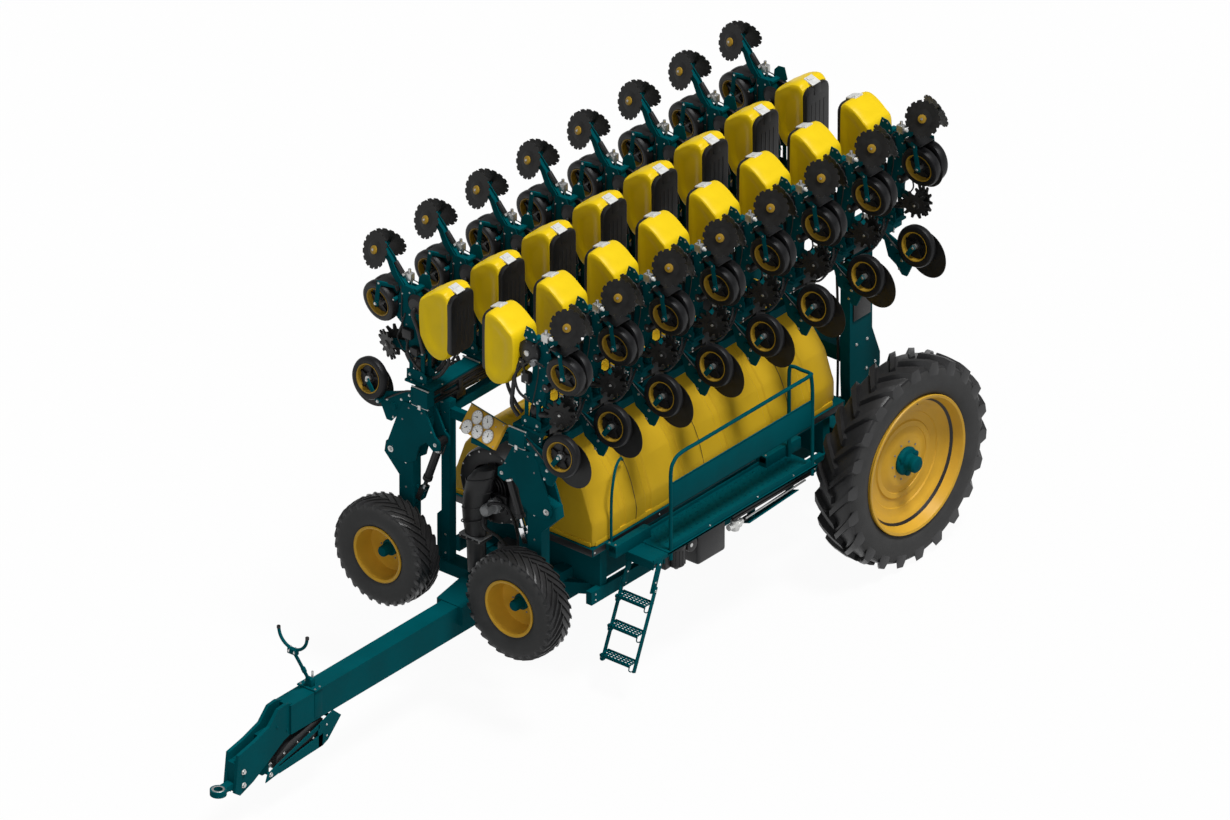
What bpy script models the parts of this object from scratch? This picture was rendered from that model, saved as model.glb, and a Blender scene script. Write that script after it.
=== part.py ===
"""Pull-type sixteen-row corn planter, folded for the road.

The toolbar is turned up on edge over the rear axle and its two wings point forward, side by side, over
the liquid tank. Eight row units hang on the outer side of each wing. Lengths are metres, +Z is up, and
+Y points to the rear. Shapes are laid out from the machine's datum: the point on the ground midway
between the road wheels. The datum is then set so that the world origin is the middle of the footprint.
"""

import math

import bmesh
import bpy
from mathutils import Matrix, Vector

# ---------------------------------------------------------------- driving dimensions
GAP = 0.0003  # between pieces that touch
ROW_PITCH = 0.762  # the planting row spacing
ROWS_PER_WING = 8

ROAD_TYRE_RADIUS = 1.08
ROAD_TYRE_WIDTH = 0.46
ROAD_RIM_RADIUS = 0.708
ROAD_TRACK = 3.048  # between the road wheels' centre planes
ROAD_SIDES = 28
SPINDLE = 0.06  # how far the axle's flange stands out of the beam

WING_TYRE_RADIUS = 0.555
WING_TYRE_WIDTH = 0.345
WING_RIM_RADIUS = 0.283
WING_WHEEL_X = 0.82
WING_WHEEL_Y = -4.90
WING_WHEEL_Z = 1.373
WING_SIDES = 20

BEAM_SIZE = 0.178  # the wing toolbar's square section
BEAM_X = 0.60  # from the machine's centre line to the wing toolbar's centre
BEAM_Z = 3.003
BEAM_OVERHANG = 0.15  # ahead of the first row
BEAM_TAIL = 0.216  # behind the last row
HINGE_Y = 0.595  # the wing fold pins
HINGE_PIN_RADIUS = 0.034
HINGE_BORE_CLEARANCE = 0.003
EAR_THICKNESS = 0.06
STAY_SIZE = 0.10  # the smaller tube under each wing toolbar
STAY_DROP = 0.283  # below the toolbar's centre

LIFT_PIVOT_Y = 0.35  # the toolbar turns about this cross axis
LIFT_PIVOT_Z = 1.02
LIFT_PIN_RADIUS = 0.05
LIFT_BOSS_RADIUS = 0.09
LIFT_PIN_CLEARANCE = 0.003
LIFT_PLATE_X = 0.60  # the lift towers' inner faces
LIFT_PLATE = 0.12
TOWER_DROP = 0.034  # from the toolbar's underside to the towers' tops

DRAWBAR_WIDTH = 0.20
DRAWBAR_TOP = 1.09
DRAWBAR_BOTTOM = 0.776
DRAWBAR_FRONT = -7.42
CHEEK_X = 0.078  # the hitch head's outer faces
CHEEK = 0.035
TONGUE_Y = -8.12
HITCH_Y = -8.38  # the centre of the hitch ring
HITCH_Z = 0.537
HITCH_RING_RADIUS = 0.082
HITCH_RING_HOLE = 0.045
HITCH_RING_THICKNESS = 0.06
JACK_PIVOT_Y = -7.73
JACK_PIVOT_Z = 0.645

RAIL_X = 0.50  # the main rails' outer faces
RAIL_WIDTH = 0.14
RAIL_TOP = 1.14
RAIL_BOTTOM = 0.80
FRAME_FRONT = -3.95
FRAME_REAR = 0.49
SILL_X = 0.86  # the lower side channels' outer faces
SILL_BOTTOM = 0.90
SILL_TOP = 1.04

TANK_FRONT = -3.85
TANK_REAR = -0.12
TANK_HALF_WIDTH = 0.87
TANK_BOTTOM = 1.53
TANK_TOP = 2.60
SADDLE_THICKNESS = 0.08
SADDLE_X = 0.89  # the saddle deck's outer edges

MAST_Y = -4.38
MAST_X = 0.485
MAST_POST = 0.10
MAST_TIE = 0.07
MAST_TIE_DROP = 0.12  # from the posts' tops to the tie's centre
PANEL_LIFT = 0.0313  # from the posts' tops to the dial board's middle

WALK_INNER_X = 0.92
WALK_OUTER_X = 1.35
WALK_FRONT = -3.24
WALK_TYRE_GAP = 0.0349  # from the floor's end to the road tyre
WALK_LIP = 0.05  # the floor reaches this far past the end posts
WALK_FLOOR = 1.42
WALK_PLATE = 0.03
RAIL_TUBE = 0.04
GUARD_BOTTOM = 1.86
GUARD_TOP = 2.14
HANDRAIL_TOP = 2.44

LADDER_PIVOT_Y = -3.50
LADDER_PIVOT_Z = 1.085
LADDER_FOOT_Y = -3.82
LADDER_FOOT_Z = 0.32
LADDER_STRINGER = 0.02
STRINGER = 0.02

LEG_WIDTH = 0.172
LEG_DEPTH = 0.12
LEG_X = 0.80
LEG_Y = -4.58
LEG_BOTTOM = 1.20
LEG_PIVOT_X = 0.968
LEG_PIVOT_Z = 2.32
LEG_PIN_RADIUS = 0.035
LEG_BORE_CLEARANCE = 0.003
WING_SPINDLE = 0.09
LUG = 0.04
RAM_TOP_X = 0.415
RAM_TOP_Z = 2.557
RAM_FOOT_X = 0.66
RAM_FOOT_Z = 1.88
RAM_BARREL_RADIUS = 0.042
RAM_ROD_RADIUS = 0.022
RAM_ROD_CLEARANCE = 0.001
RAM_PIN_RADIUS = 0.02
RAM_BARREL = 0.50

HOPPER_WIDTH = 0.36
HOPPER_INNER = -0.415  # from the toolbar's centre; the lid faces the machine's centre line
HOPPER_OUTER = 0.0
OPENER_WHEEL_RADIUS = 0.215
OPENER_DISC_RADIUS = 0.25
GAUGE_WHEEL_RADIUS = 0.21
GAUGE_WHEEL_WIDTH = 0.11
GAUGE_WHEEL_SPREAD = 0.13
CLOSING_DISC_RADIUS = 0.185
SEED_DISC_RADIUS = 0.18
CLEANER_RADIUS = 0.18

# ---------------------------------------------------------------- derived places
LAST_ROW_Y = HINGE_Y + BEAM_X - ROW_PITCH / 2
FIRST_ROW_Y = LAST_ROW_Y - (ROWS_PER_WING - 1) * ROW_PITCH
BEAM_FRONT = FIRST_ROW_Y - BEAM_OVERHANG
BEAM_REAR = LAST_ROW_Y + BEAM_TAIL
BEAM_TOP = BEAM_Z + BEAM_SIZE / 2
BEAM_UNDER = BEAM_Z - BEAM_SIZE / 2
STAY_Z = BEAM_Z - STAY_DROP
TOWER_TOP = BEAM_UNDER - TOWER_DROP
HEAD_PLATE = 0.025  # the plate on the toolbar that each row unit is carried by
HEAD_REACH = 0.24
HEAD_TOP = BEAM_TOP + HEAD_PLATE
MAST_TOP = BEAM_UNDER - GAP  # the folded wings rest on the posts
DATUM_Y = (ROAD_TYRE_RADIUS * -1 - (HITCH_Y - HITCH_RING_RADIUS)) / 2
SADDLE_BOTTOM = TANK_BOTTOM - GAP - SADDLE_THICKNESS
# how far ahead of its axle the road tyre reaches at the platform's height
TYRE_REACH = math.sqrt(ROAD_TYRE_RADIUS ** 2 - (WALK_FLOOR - ROAD_TYRE_RADIUS) ** 2)
WALK_REAR = -round(TYRE_REACH + WALK_TYRE_GAP + WALK_LIP, 3)

COLOURS = {
    "teal_paint": ((0.0, 0.078, 0.090), 0.35, 0.0),
    "yellow_paint": ((0.62, 0.38, 0.02), 0.40, 0.0),
    "yellow_plastic": ((0.75, 0.50, 0.015), 0.35, 0.0),
    "black_plastic": ((0.02, 0.02, 0.02), 0.45, 0.0),
    "tyre_rubber": ((0.025, 0.025, 0.025), 0.80, 0.0),
    "zinc": ((0.60, 0.60, 0.60), 0.35, 1.0),
}


# ---------------------------------------------------------------- shape helpers
def block(x, y, z):
    """A box from its ranges along the three axes."""
    bm = bmesh.new()
    bmesh.ops.create_cube(bm, size=1)
    size = Vector((x[1] - x[0], y[1] - y[0], z[1] - z[0]))
    middle = Vector((x[0] + x[1], y[0] + y[1], z[0] + z[1])) / 2
    matrix = Matrix.Translation(middle) @ Matrix.Diagonal(size).to_4x4()
    bmesh.ops.transform(bm, verts=bm.verts, matrix=matrix)
    return bm


def prism(outline, axis, span):
    """An outline of two coordinates, in the order of the other two axes, pushed out along an axis."""
    bm = bmesh.new()
    slots = [n for n in range(3) if n != "XYZ".index(axis)]
    loop = []
    for point in outline:
        place = Vector((0, 0, 0))
        place["XYZ".index(axis)] = span[0]
        place[slots[0]], place[slots[1]] = point
        loop.append(bm.verts.new(place))
    face = bm.faces.new(loop)
    grown = bmesh.ops.extrude_face_region(bm, geom=[face])["geom"]
    move = Vector((0, 0, 0))
    move["XYZ".index(axis)] = span[1] - span[0]
    bmesh.ops.translate(bm, verts=[g for g in grown if isinstance(g, bmesh.types.BMVert)], vec=move)
    bmesh.ops.recalc_face_normals(bm, faces=bm.faces)
    return bm


def bar(start, end, width, height, side=(0, 1, 0)):
    """A straight rectangular bar between two points; width is measured along side."""
    start, end = Vector(start), Vector(end)
    along = (end - start).normalized()
    across = Vector(side)
    across = (across - across.dot(along) * along).normalized()
    up = along.cross(across)
    bm = bmesh.new()
    bmesh.ops.create_cube(bm, size=1)
    turn = Matrix((along, across, up)).transposed().to_4x4()
    scale = Matrix.Diagonal(((end - start).length, width, height, 1))
    bmesh.ops.transform(bm, verts=bm.verts, matrix=Matrix.Translation((start + end) / 2) @ turn @ scale)
    return bm


def rod(start, end, radius, sides=8, phase=0.0):
    """A round bar between two points."""
    start, end = Vector(start), Vector(end)
    bm = bmesh.new()
    length = (end - start).length
    bmesh.ops.create_cone(bm, cap_ends=True, segments=sides, radius1=radius, radius2=radius, depth=length)
    turn = (end - start).to_track_quat("Z", "Y").to_matrix().to_4x4()
    spin = Matrix.Rotation(phase, 4, "Z")
    bmesh.ops.transform(bm, verts=bm.verts, matrix=Matrix.Translation((start + end) / 2) @ turn @ spin)
    return bm


def turned(profile, centre, axis, sides):
    """A closed outline of (radius, distance along the axis) turned about an axis; a flat faces down."""
    bm = bmesh.new()
    stretch = 1 / math.cos(math.pi / sides)
    rings = []
    for step in range(sides):
        angle = 2 * math.pi * (step + 0.5) / sides - math.pi / 2
        ring = []
        for radius, along in profile:
            a = radius * stretch * math.cos(angle)
            b = radius * stretch * math.sin(angle)
            place = (along, a, b) if axis == "X" else (a, along, b)
            ring.append(Vector(centre) + Vector(place))
        rings.append(ring)
    verts = [[bm.verts.new(place) for place in ring] for ring in rings]
    count = len(profile)
    for step in range(sides):
        here, there = verts[step], verts[(step + 1) % sides]
        for k in range(count):
            bm.faces.new((here[k], here[(k + 1) % count], there[(k + 1) % count], there[k]))
    bmesh.ops.remove_doubles(bm, verts=bm.verts, dist=1e-6)
    loose = [face for face in bm.faces if len(face.verts) < 3 or face.calc_area() < 1e-12]
    bmesh.ops.delete(bm, geom=loose, context="FACES")
    bmesh.ops.recalc_face_normals(bm, faces=bm.faces)
    return bm


def tread_disc(centre, radius, thickness, sides=10, toe=0.0):
    """A wheel or disc on a cross-machine axle along Y, toed about the up axis."""
    half = Matrix.Rotation(toe, 3, "Z") @ Vector((0, thickness / 2, 0))
    centre = Vector(centre)
    return rod(centre - half, centre + half, radius, sides, math.pi / sides)


# ---------------------------------------------------------------- object helpers
def clear_scene():
    for old in list(bpy.data.objects):
        bpy.data.objects.remove(old, do_unlink=True)


def material(name):
    found = bpy.data.materials.get(name)
    if found:
        return found
    colour, roughness, metallic = COLOURS[name]
    made = bpy.data.materials.new(name)
    made.use_nodes = True
    shader = made.node_tree.nodes["Principled BSDF"]
    shader.inputs["Base Color"].default_value = (*colour, 1.0)
    shader.inputs["Roughness"].default_value = roughness
    shader.inputs["Metallic"].default_value = metallic
    return made


def object_from(bm, name):
    mesh = bpy.data.meshes.new(name)
    bm.to_mesh(mesh)
    bm.free()
    made = bpy.data.objects.new(name, mesh)
    bpy.context.scene.collection.objects.link(made)
    return made


def joined(shapes, cuts=()):
    """One closed mesh: the union of the shapes, less the cuts."""
    body = object_from(shapes[0], "body")
    helpers = []
    for operation, tools in (("UNION", shapes[1:]), ("DIFFERENCE", cuts)):
        if not tools:
            continue
        group = bpy.data.collections.new(operation)
        bpy.context.scene.collection.children.link(group)
        for tool in tools:
            helper = object_from(tool, "tool")
            bpy.context.scene.collection.objects.unlink(helper)
            group.objects.link(helper)
            helpers.append(helper)
        change = body.modifiers.new(operation, "BOOLEAN")
        change.operation = operation
        change.solver = "EXACT"
        change.operand_type = "COLLECTION"
        change.collection = group
    bpy.context.view_layer.update()
    depsgraph = bpy.context.evaluated_depsgraph_get()
    mesh = bpy.data.meshes.new_from_object(body.evaluated_get(depsgraph))
    for used in helpers + [body]:
        bpy.data.objects.remove(used, do_unlink=True)
    for group in list(bpy.data.collections):
        bpy.data.collections.remove(group)
    bm = bmesh.new()
    bm.from_mesh(mesh)
    bmesh.ops.remove_doubles(bm, verts=bm.verts, dist=2e-5)
    bmesh.ops.dissolve_degenerate(bm, edges=bm.edges, dist=2e-5)
    bmesh.ops.dissolve_limit(bm, angle_limit=math.radians(0.05), verts=bm.verts, edges=bm.edges)
    bpy.data.meshes.remove(mesh)
    return bm


def place(name, bm, paint, parent, smooth=False):
    """The named piece, laid out from the datum and hung on a parent empty."""
    piece = object_from(bm, name)
    piece.data.transform(Matrix.Translation(-datum_offset(parent)))
    piece.parent = parent
    piece.data.materials.append(material(paint))
    if smooth:
        piece.data.shade_smooth()
        piece.data.set_sharp_from_angle(angle=math.radians(35))
    return piece


def datum_offset(empty):
    """Where an empty stands, measured from the datum."""
    offset = Vector((0, 0, 0))
    while empty.parent:
        offset += empty.location
        empty = empty.parent
    return offset


def pivot(name, location, parent):
    """An empty on a joint's axis, at a place measured from the datum."""
    empty = bpy.data.objects.new(name, None)
    bpy.context.scene.collection.objects.link(empty)
    empty.parent = parent
    empty.location = Vector(location) - datum_offset(parent)
    return empty


def both_sides(ranges):
    """The same box on both sides of the centre line."""
    x, y, z = ranges
    return [block(x, y, z), block((-x[1], -x[0]), y, z)]


# ---------------------------------------------------------------- chassis
def drawbar():
    """The square spine with the hitch head's two cheeks in its nose and the mast on its rear end."""
    half = DRAWBAR_WIDTH / 2
    shapes = [block((-half, half), (DRAWBAR_FRONT, FRAME_FRONT - GAP), (DRAWBAR_BOTTOM, DRAWBAR_TOP))]
    cheek = [
        (-8.22, 0.47), (-8.17, 0.86), (-7.93, 0.91), (-7.71, 0.98), (-7.58, 1.11), (-7.46, 1.12),
        (-7.32, 1.07), (-7.32, 0.79), (-7.50, 0.74), (-7.71, 0.62), (-7.95, 0.49), (-8.15, 0.42),
    ]
    for side in (-1, 1):
        shapes.append(prism(cheek, "X", sorted((side * (CHEEK_X - CHEEK), side * CHEEK_X))))
    inside = CHEEK_X - CHEEK + 0.01
    shapes.append(block((-inside, inside), (-7.80, DRAWBAR_FRONT + 0.05), (0.82, 0.90)))
    shapes.append(block((-inside, inside), (TONGUE_Y, TONGUE_Y + 0.05), (0.52, 0.78)))
    shapes += mast_shapes()
    return joined(shapes)


def mast_shapes():
    """Two posts that hold the folded wings' front ends, on a gusseted foot across the drawbar."""
    post = MAST_POST / 2
    shapes = []
    for side in (-1, 1):
        x = sorted((side * (MAST_X - post), side * (MAST_X + post)))
        shapes.append(block(x, (MAST_Y - post, MAST_Y + post), (1.16, MAST_TOP)))
        foot, edge = side * MAST_X, side * (MAST_X + 0.13)
        brace = [(foot, 1.10), (edge, 1.16), (edge, 1.62), (foot, 1.76)]
        shapes.append(prism(brace, "Y", (MAST_Y - 0.02, MAST_Y + 0.02)))
    shapes.append(block((-MAST_X - 0.09, MAST_X + 0.09), (MAST_Y - 0.09, MAST_Y + 0.09), (1.05, 1.18)))
    tie, half = MAST_TOP - MAST_TIE_DROP, MAST_TIE / 2
    shapes.append(block((-MAST_X, MAST_X), (MAST_Y - half, MAST_Y + half), (tie - 0.05, tie + 0.05)))
    gusset = [(-4.95, 0.90), (-4.95, 1.10), (-4.60, 1.17), (-4.20, 1.17), (-4.20, 0.90)]
    shapes.append(prism(gusset, "X", (-0.16, 0.16)))
    return shapes


def hitch_ring():
    """The eye that drops over the towing pin, on a tongue bolted between the drawbar's cheeks."""
    half = HITCH_RING_THICKNESS / 2
    inside = CHEEK_X - CHEEK - GAP
    shapes = [
        rod((0, HITCH_Y, HITCH_Z - half), (0, HITCH_Y, HITCH_Z + half), HITCH_RING_RADIUS, 20),
        block((-inside, inside), (HITCH_Y + 0.055, TONGUE_Y - GAP), (HITCH_Z - 0.028, HITCH_Z + 0.028)),
        block((-inside, inside), (TONGUE_Y - 0.07, TONGUE_Y - GAP), (HITCH_Z - 0.07, HITCH_Z + 0.24)),
    ]
    hole = rod((0, HITCH_Y, HITCH_Z - 0.1), (0, HITCH_Y, HITCH_Z + 0.1), HITCH_RING_HOLE, 20)
    return joined(shapes, [hole])


def parking_jack():
    """The parking leg, folded up under the hitch head on its cross pin."""
    inside = CHEEK_X - CHEEK - GAP
    leg = [
        (-7.80, 0.41), (-7.76, 0.50), (-7.18, 0.66), (-6.80, 0.775), (-6.68, 0.67), (-6.88, 0.48),
        (-6.96, 0.45),
    ]
    shapes = [
        prism(leg, "X", (-inside - 0.06, inside + 0.06)),
        block((-inside, inside), (JACK_PIVOT_Y - 0.05, JACK_PIVOT_Y + 0.05), (0.46, JACK_PIVOT_Z + 0.04)),
    ]
    slot = block((-inside + 0.002, inside - 0.002), (JACK_PIVOT_Y + 0.06, -6.82), (0.3, 0.9))
    return joined(shapes, [slot])


def hose_stand():
    """A post strapped to the drawbar, leaning forward to a U hook that carries the hoses."""
    half = DRAWBAR_WIDTH / 2
    base_y, top = -7.02, DRAWBAR_TOP + GAP
    hook_y, hook_z = -7.27, 1.79
    radius, steps = 0.175, 6
    neck_z = hook_z - radius - 0.03
    shapes = [
        block((-half - 0.02, half + 0.02), (base_y - 0.06, base_y + 0.06), (top, top + 0.02)),
        block((-0.04, 0.04), (base_y - 0.03, base_y + 0.03), (top + 0.01, top + 0.10)),
        bar((0, base_y, top + 0.03), (0, hook_y, neck_z), 0.035, 0.035, (1, 0, 0)),
        block((-0.06, 0.06), (hook_y - 0.025, hook_y + 0.025), (neck_z - 0.03, neck_z + 0.04)),
    ]
    last = None
    for step in range(steps + 1):
        angle = math.pi + math.pi * step / steps
        point = Vector((radius * math.cos(angle), hook_y, hook_z + radius * math.sin(angle)))
        if last:
            reach = (point - last).normalized() * 0.008
            shapes.append(rod(last - reach, point + reach, 0.017, 6))
        last = point
    return joined(shapes)


def main_frame():
    """Rails, bolsters under the tank, side channels and the rear axle, welded into one frame."""
    inner = RAIL_X - RAIL_WIDTH
    shapes = both_sides(((inner, RAIL_X), (FRAME_FRONT, FRAME_REAR), (RAIL_BOTTOM, RAIL_TOP)))
    low, high = RAIL_BOTTOM + 0.02, RAIL_TOP - 0.02
    for y in (FRAME_FRONT, -2.05, FRAME_REAR - 0.12):
        shapes.append(block((-inner - 0.02, inner + 0.02), (y, y + 0.12), (low, high)))
    for y in (-3.66, -1.40, -0.30):
        shapes.append(block((-0.84, 0.84), (y - 0.05, y + 0.05), (SILL_TOP - 0.02, SADDLE_BOTTOM + 0.02)))
    deck = (TANK_FRONT - 0.03, TANK_REAR + 0.04)
    shapes.append(block((-SADDLE_X, SADDLE_X), deck, (SADDLE_BOTTOM, TANK_BOTTOM - GAP)))
    axle_x = ROAD_TRACK / 2 - 0.22
    axle_z = ROAD_TYRE_RADIUS
    shapes.append(block((-axle_x, axle_x), (-0.10, 0.10), (axle_z - 0.10, axle_z + 0.10)))
    for side in (-1, 1):
        channel = sorted((side * (SILL_X - 0.07), side * SILL_X))
        shapes.append(block(channel, (-3.86, -0.25), (SILL_BOTTOM, SILL_TOP)))
        nose = (side * (RAIL_X - 0.10), FRAME_FRONT + 0.08), (side * (SILL_X - 0.04), -3.60)
        middle = (SILL_BOTTOM + SILL_TOP) / 2
        start, end = [(*place, middle) for place in nose]
        shapes.append(bar(start, end, SILL_TOP - SILL_BOTTOM - 0.02, 0.07, (0, 0, 1)))
        seat = sorted((side * (inner + 0.02), side * (RAIL_X - 0.02)))
        shapes.append(block(seat, (-0.08, 0.08), (RAIL_BOTTOM + 0.05, axle_z)))
        stub = side * (axle_x - 0.02), side * (axle_x + SPINDLE)
        shapes.append(rod((stub[0], 0, axle_z), (stub[1], 0, axle_z), 0.12, 12))
        boss = LIFT_BOSS_RADIUS, LIFT_PLATE_X - GAP
        pin = LIFT_PIN_RADIUS, LIFT_PLATE_X + LIFT_PLATE + 0.02
        for radius, end in (boss, pin):
            ends = [(side * x, LIFT_PIVOT_Y, LIFT_PIVOT_Z) for x in (RAIL_X - 0.02, end)]
            shapes.append(rod(*ends, radius, 12))
    return joined(shapes)


def fertilizer_tank():
    """The liquid tank: upright sides, sloping shoulders and rounded ends, on the frame's saddle."""
    wide, shoulder = TANK_HALF_WIDTH, TANK_TOP - TANK_BOTTOM
    section = [
        (-wide, 0), (wide, 0), (wide, 0.20 * shoulder), (0.86 * wide, 0.53 * shoulder),
        (0.56 * wide, 0.84 * shoulder), (0.25 * wide, shoulder), (-0.25 * wide, shoulder),
        (-0.56 * wide, 0.84 * shoulder), (-0.86 * wide, 0.53 * shoulder), (-wide, 0.20 * shoulder),
    ]
    stations = ((TANK_FRONT, 0.985), (TANK_FRONT + 0.06, 1.0), (TANK_REAR - 0.30, 1.0), (TANK_REAR, 0.84))
    bm = bmesh.new()
    rings = []
    for y, share in stations:
        rings.append([bm.verts.new((x * share, y, TANK_BOTTOM + z * share)) for x, z in section])
    count = len(section)
    for here, there in zip(rings, rings[1:]):
        for k in range(count):
            bm.faces.new((here[k], here[(k + 1) % count], there[(k + 1) % count], there[k]))
    bm.faces.new(rings[0])
    bm.faces.new(list(reversed(rings[-1])))
    bmesh.ops.recalc_face_normals(bm, faces=bm.faces)
    return bm


def fan_housing():
    """The seed-air fan on the mast foot: a scroll, its outlet duct and the motor."""
    shapes = [
        rod((0.02, -4.36, 2.12), (0.02, -4.06, 2.12), 0.40, 16),
        bar((-0.02, -4.30, 2.35), (-0.10, -4.44, 1.55), 0.24, 0.20, (1, 0, 0)),
        bar((-0.10, -4.42, 1.62), (-0.10, -4.42, 1.18 + GAP), 0.22, 0.17, (1, 0, 0)),
        rod((0.14, -4.62, 2.00), (0.14, -4.30, 2.00), 0.09, 10),
    ]
    return joined(shapes)


def gauge_panel():
    """The board that carries five dials, turned a little to the near side and bolted to the mast's tie."""
    lean, turn = math.radians(35), math.radians(-11.7)
    across = Vector((math.cos(turn), math.sin(turn), 0))
    ahead = Vector((-across.y, across.x, 0))
    up = math.sin(lean) * ahead + math.cos(lean) * Vector((0, 0, 1))
    middle = Vector((0.145, -4.62, MAST_TOP + PANEL_LIFT))
    top = middle + 0.125 * up
    front = MAST_Y - MAST_TIE / 2 - GAP
    tie = MAST_TOP - MAST_TIE_DROP
    shapes = [
        bar(middle - 0.14 * up, middle + 0.14 * up, 0.54, 0.03, across),
        bar(top, top - 0.09 * ahead + Vector((0, 0, 0.03)), 0.54, 0.012, across),
        block((0.05, 0.30), (-4.73, front), (tie - 0.03, tie + 0.03)),
    ]
    return joined(shapes)


def walkway():
    """The tank-side platform with its kick plate, guard board and looped handrail."""
    tube = RAIL_TUBE / 2
    rail_x = WALK_OUTER_X - tube
    ends = (WALK_FRONT - WALK_LIP, WALK_REAR + WALK_LIP)
    shapes = [
        block((WALK_INNER_X, WALK_OUTER_X), ends, (WALK_FLOOR - WALK_PLATE, WALK_FLOOR)),
        block((rail_x - 0.006, rail_x + 0.006), (WALK_FRONT, WALK_REAR), (GUARD_BOTTOM, GUARD_TOP)),
        block((rail_x - 0.006, rail_x + 0.006), (WALK_FRONT, WALK_REAR), (1.32, 1.55)),
    ]
    for y in (WALK_FRONT, WALK_REAR):
        shapes.append(block((rail_x - tube, rail_x + tube), (y - tube, y + tube), (1.31, HANDRAIL_TOP)))
    top = (HANDRAIL_TOP - RAIL_TUBE, HANDRAIL_TOP)
    shapes.append(block((rail_x - tube, rail_x + tube), (WALK_FRONT - tube, WALK_REAR + tube), top))
    inner_x = WALK_INNER_X + 0.12
    rear = (WALK_REAR - tube, WALK_REAR + tube)
    shapes.append(block((inner_x - tube, rail_x), rear, top))
    shapes.append(block((inner_x - tube, inner_x + tube), rear, (WALK_FLOOR - 0.01, HANDRAIL_TOP)))
    for x in stringer_places():
        span = (x - STRINGER / 2, x + STRINGER / 2)
        height = (LADDER_PIVOT_Z - 0.04, WALK_FLOOR - 0.01)
        shapes.append(block(span, (LADDER_PIVOT_Y - 0.05, WALK_FRONT), height))
    for y in (-3.66, -1.40):
        arm, knee = (SADDLE_X + GAP, WALK_INNER_X + 0.1), (WALK_INNER_X + 0.01, WALK_INNER_X + 0.1)
        shapes.append(block(arm, (y - 0.03, y + 0.03), (SADDLE_BOTTOM, TANK_BOTTOM - GAP)))
        shapes.append(block(knee, (y - 0.03, y + 0.5), (WALK_FLOOR - 0.02, TANK_BOTTOM - GAP)))
    return joined(shapes)


def stringer_places():
    """The fixed stringers' centres, just inside the ladder's own."""
    inset = LADDER_STRINGER + GAP + STRINGER / 2
    return WALK_INNER_X + 0.03 + inset, WALK_OUTER_X + 0.01 - inset


def ladder():
    """The folding steps, pinned outside the platform's stringers."""
    top = Vector((0, LADDER_PIVOT_Y, LADDER_PIVOT_Z))
    foot = Vector((0, LADDER_FOOT_Y, LADDER_FOOT_Z))
    inner, outer = WALK_INNER_X + 0.03, WALK_OUTER_X + 0.01
    half = LADDER_STRINGER / 2
    shapes = []
    for x in (inner + half, outer - half):
        head = top + (top - foot).normalized() * 0.04
        side = Vector((x, 0, 0))
        shapes.append(bar(head + side, foot + side, LADDER_STRINGER, 0.05, (1, 0, 0)))
    for share in (0.17, 0.53, 0.89):
        middle = top.lerp(foot, share)
        tread = (middle.y - 0.09, middle.y + 0.05), (middle.z - 0.015, middle.z + 0.015)
        shapes.append(block((inner + 0.01, outer - 0.01), *tread))
    return joined(shapes)


def pump_box():
    """The black box and the strainer that hang under the platform."""
    under = WALK_FLOOR - WALK_PLATE - GAP
    shapes = [
        block((0.97, 1.29), (-2.78, -2.36), (1.02, under)),
        block((1.02, 1.20), (-3.18, -2.70), (1.22, under)),
        rod((1.12, -3.04, under - 0.02), (1.12, -3.04, 1.10), 0.09, 10),
    ]
    return joined(shapes)


# ---------------------------------------------------------------- wheels


def rim_profile(radius, back, disc, front, hub):
    """A dished disc in a barrel, as (radius, distance along the axis), from the hub's face to its back."""
    lip = 0.045
    return [
        (0.0, hub), (0.28 * radius, hub), (0.28 * radius, disc + 0.02), (0.80 * radius, disc),
        (radius - lip, front), (radius, front), (radius, back), (radius - lip, back),
        (radius - lip, disc - 0.03), (0.28 * radius, disc - 0.05), (0.28 * radius, back + 0.02),
        (0.0, back + 0.02),
    ]


def tyre_profile(inner, outer, width):
    """A tyre's section as (radius, distance from its centre plane)."""
    half, wall = width / 2, outer - inner
    return [
        (inner, -0.34 * width), (inner + 0.35 * wall, -half), (outer - 0.22 * wall, -half),
        (outer, -0.40 * width), (outer, 0.40 * width), (outer - 0.22 * wall, half),
        (inner + 0.35 * wall, half), (inner, 0.34 * width),
    ]


def mirrored(profile, side):
    return [(radius, side * along) for radius, along in profile]


def road_rim(side):
    flange = ROAD_TRACK / 2 - 0.22 + SPINDLE + GAP
    back = flange - 0.02 - ROAD_TRACK / 2
    profile = rim_profile(ROAD_RIM_RADIUS, back, 0.03, 0.165, 0.19)
    return turned(mirrored(profile, side), (side * ROAD_TRACK / 2, 0, ROAD_TYRE_RADIUS), "X", ROAD_SIDES)


def road_tyre(side):
    profile = tyre_profile(ROAD_RIM_RADIUS + GAP, ROAD_TYRE_RADIUS, ROAD_TYRE_WIDTH)
    return turned(mirrored(profile, side), (side * ROAD_TRACK / 2, 0, ROAD_TYRE_RADIUS), "X", ROAD_SIDES)


def wing_rim(side):
    back = LEG_Y - LEG_DEPTH / 2 - WING_SPINDLE - GAP - WING_WHEEL_Y
    profile = [
        (0.0, -0.13), (0.22 * WING_RIM_RADIUS, -0.13), (0.22 * WING_RIM_RADIUS, 0.0),
        (0.70 * WING_RIM_RADIUS, 0.0), (0.88 * WING_RIM_RADIUS, -0.15), (WING_RIM_RADIUS, -0.15),
        (WING_RIM_RADIUS, 0.15), (0.88 * WING_RIM_RADIUS, 0.15), (0.80 * WING_RIM_RADIUS, 0.03),
        (0.22 * WING_RIM_RADIUS, 0.03), (0.22 * WING_RIM_RADIUS, back), (0.0, back),
    ]
    return turned(profile, (side * WING_WHEEL_X, WING_WHEEL_Y, WING_WHEEL_Z), "Y", WING_SIDES)


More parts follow.
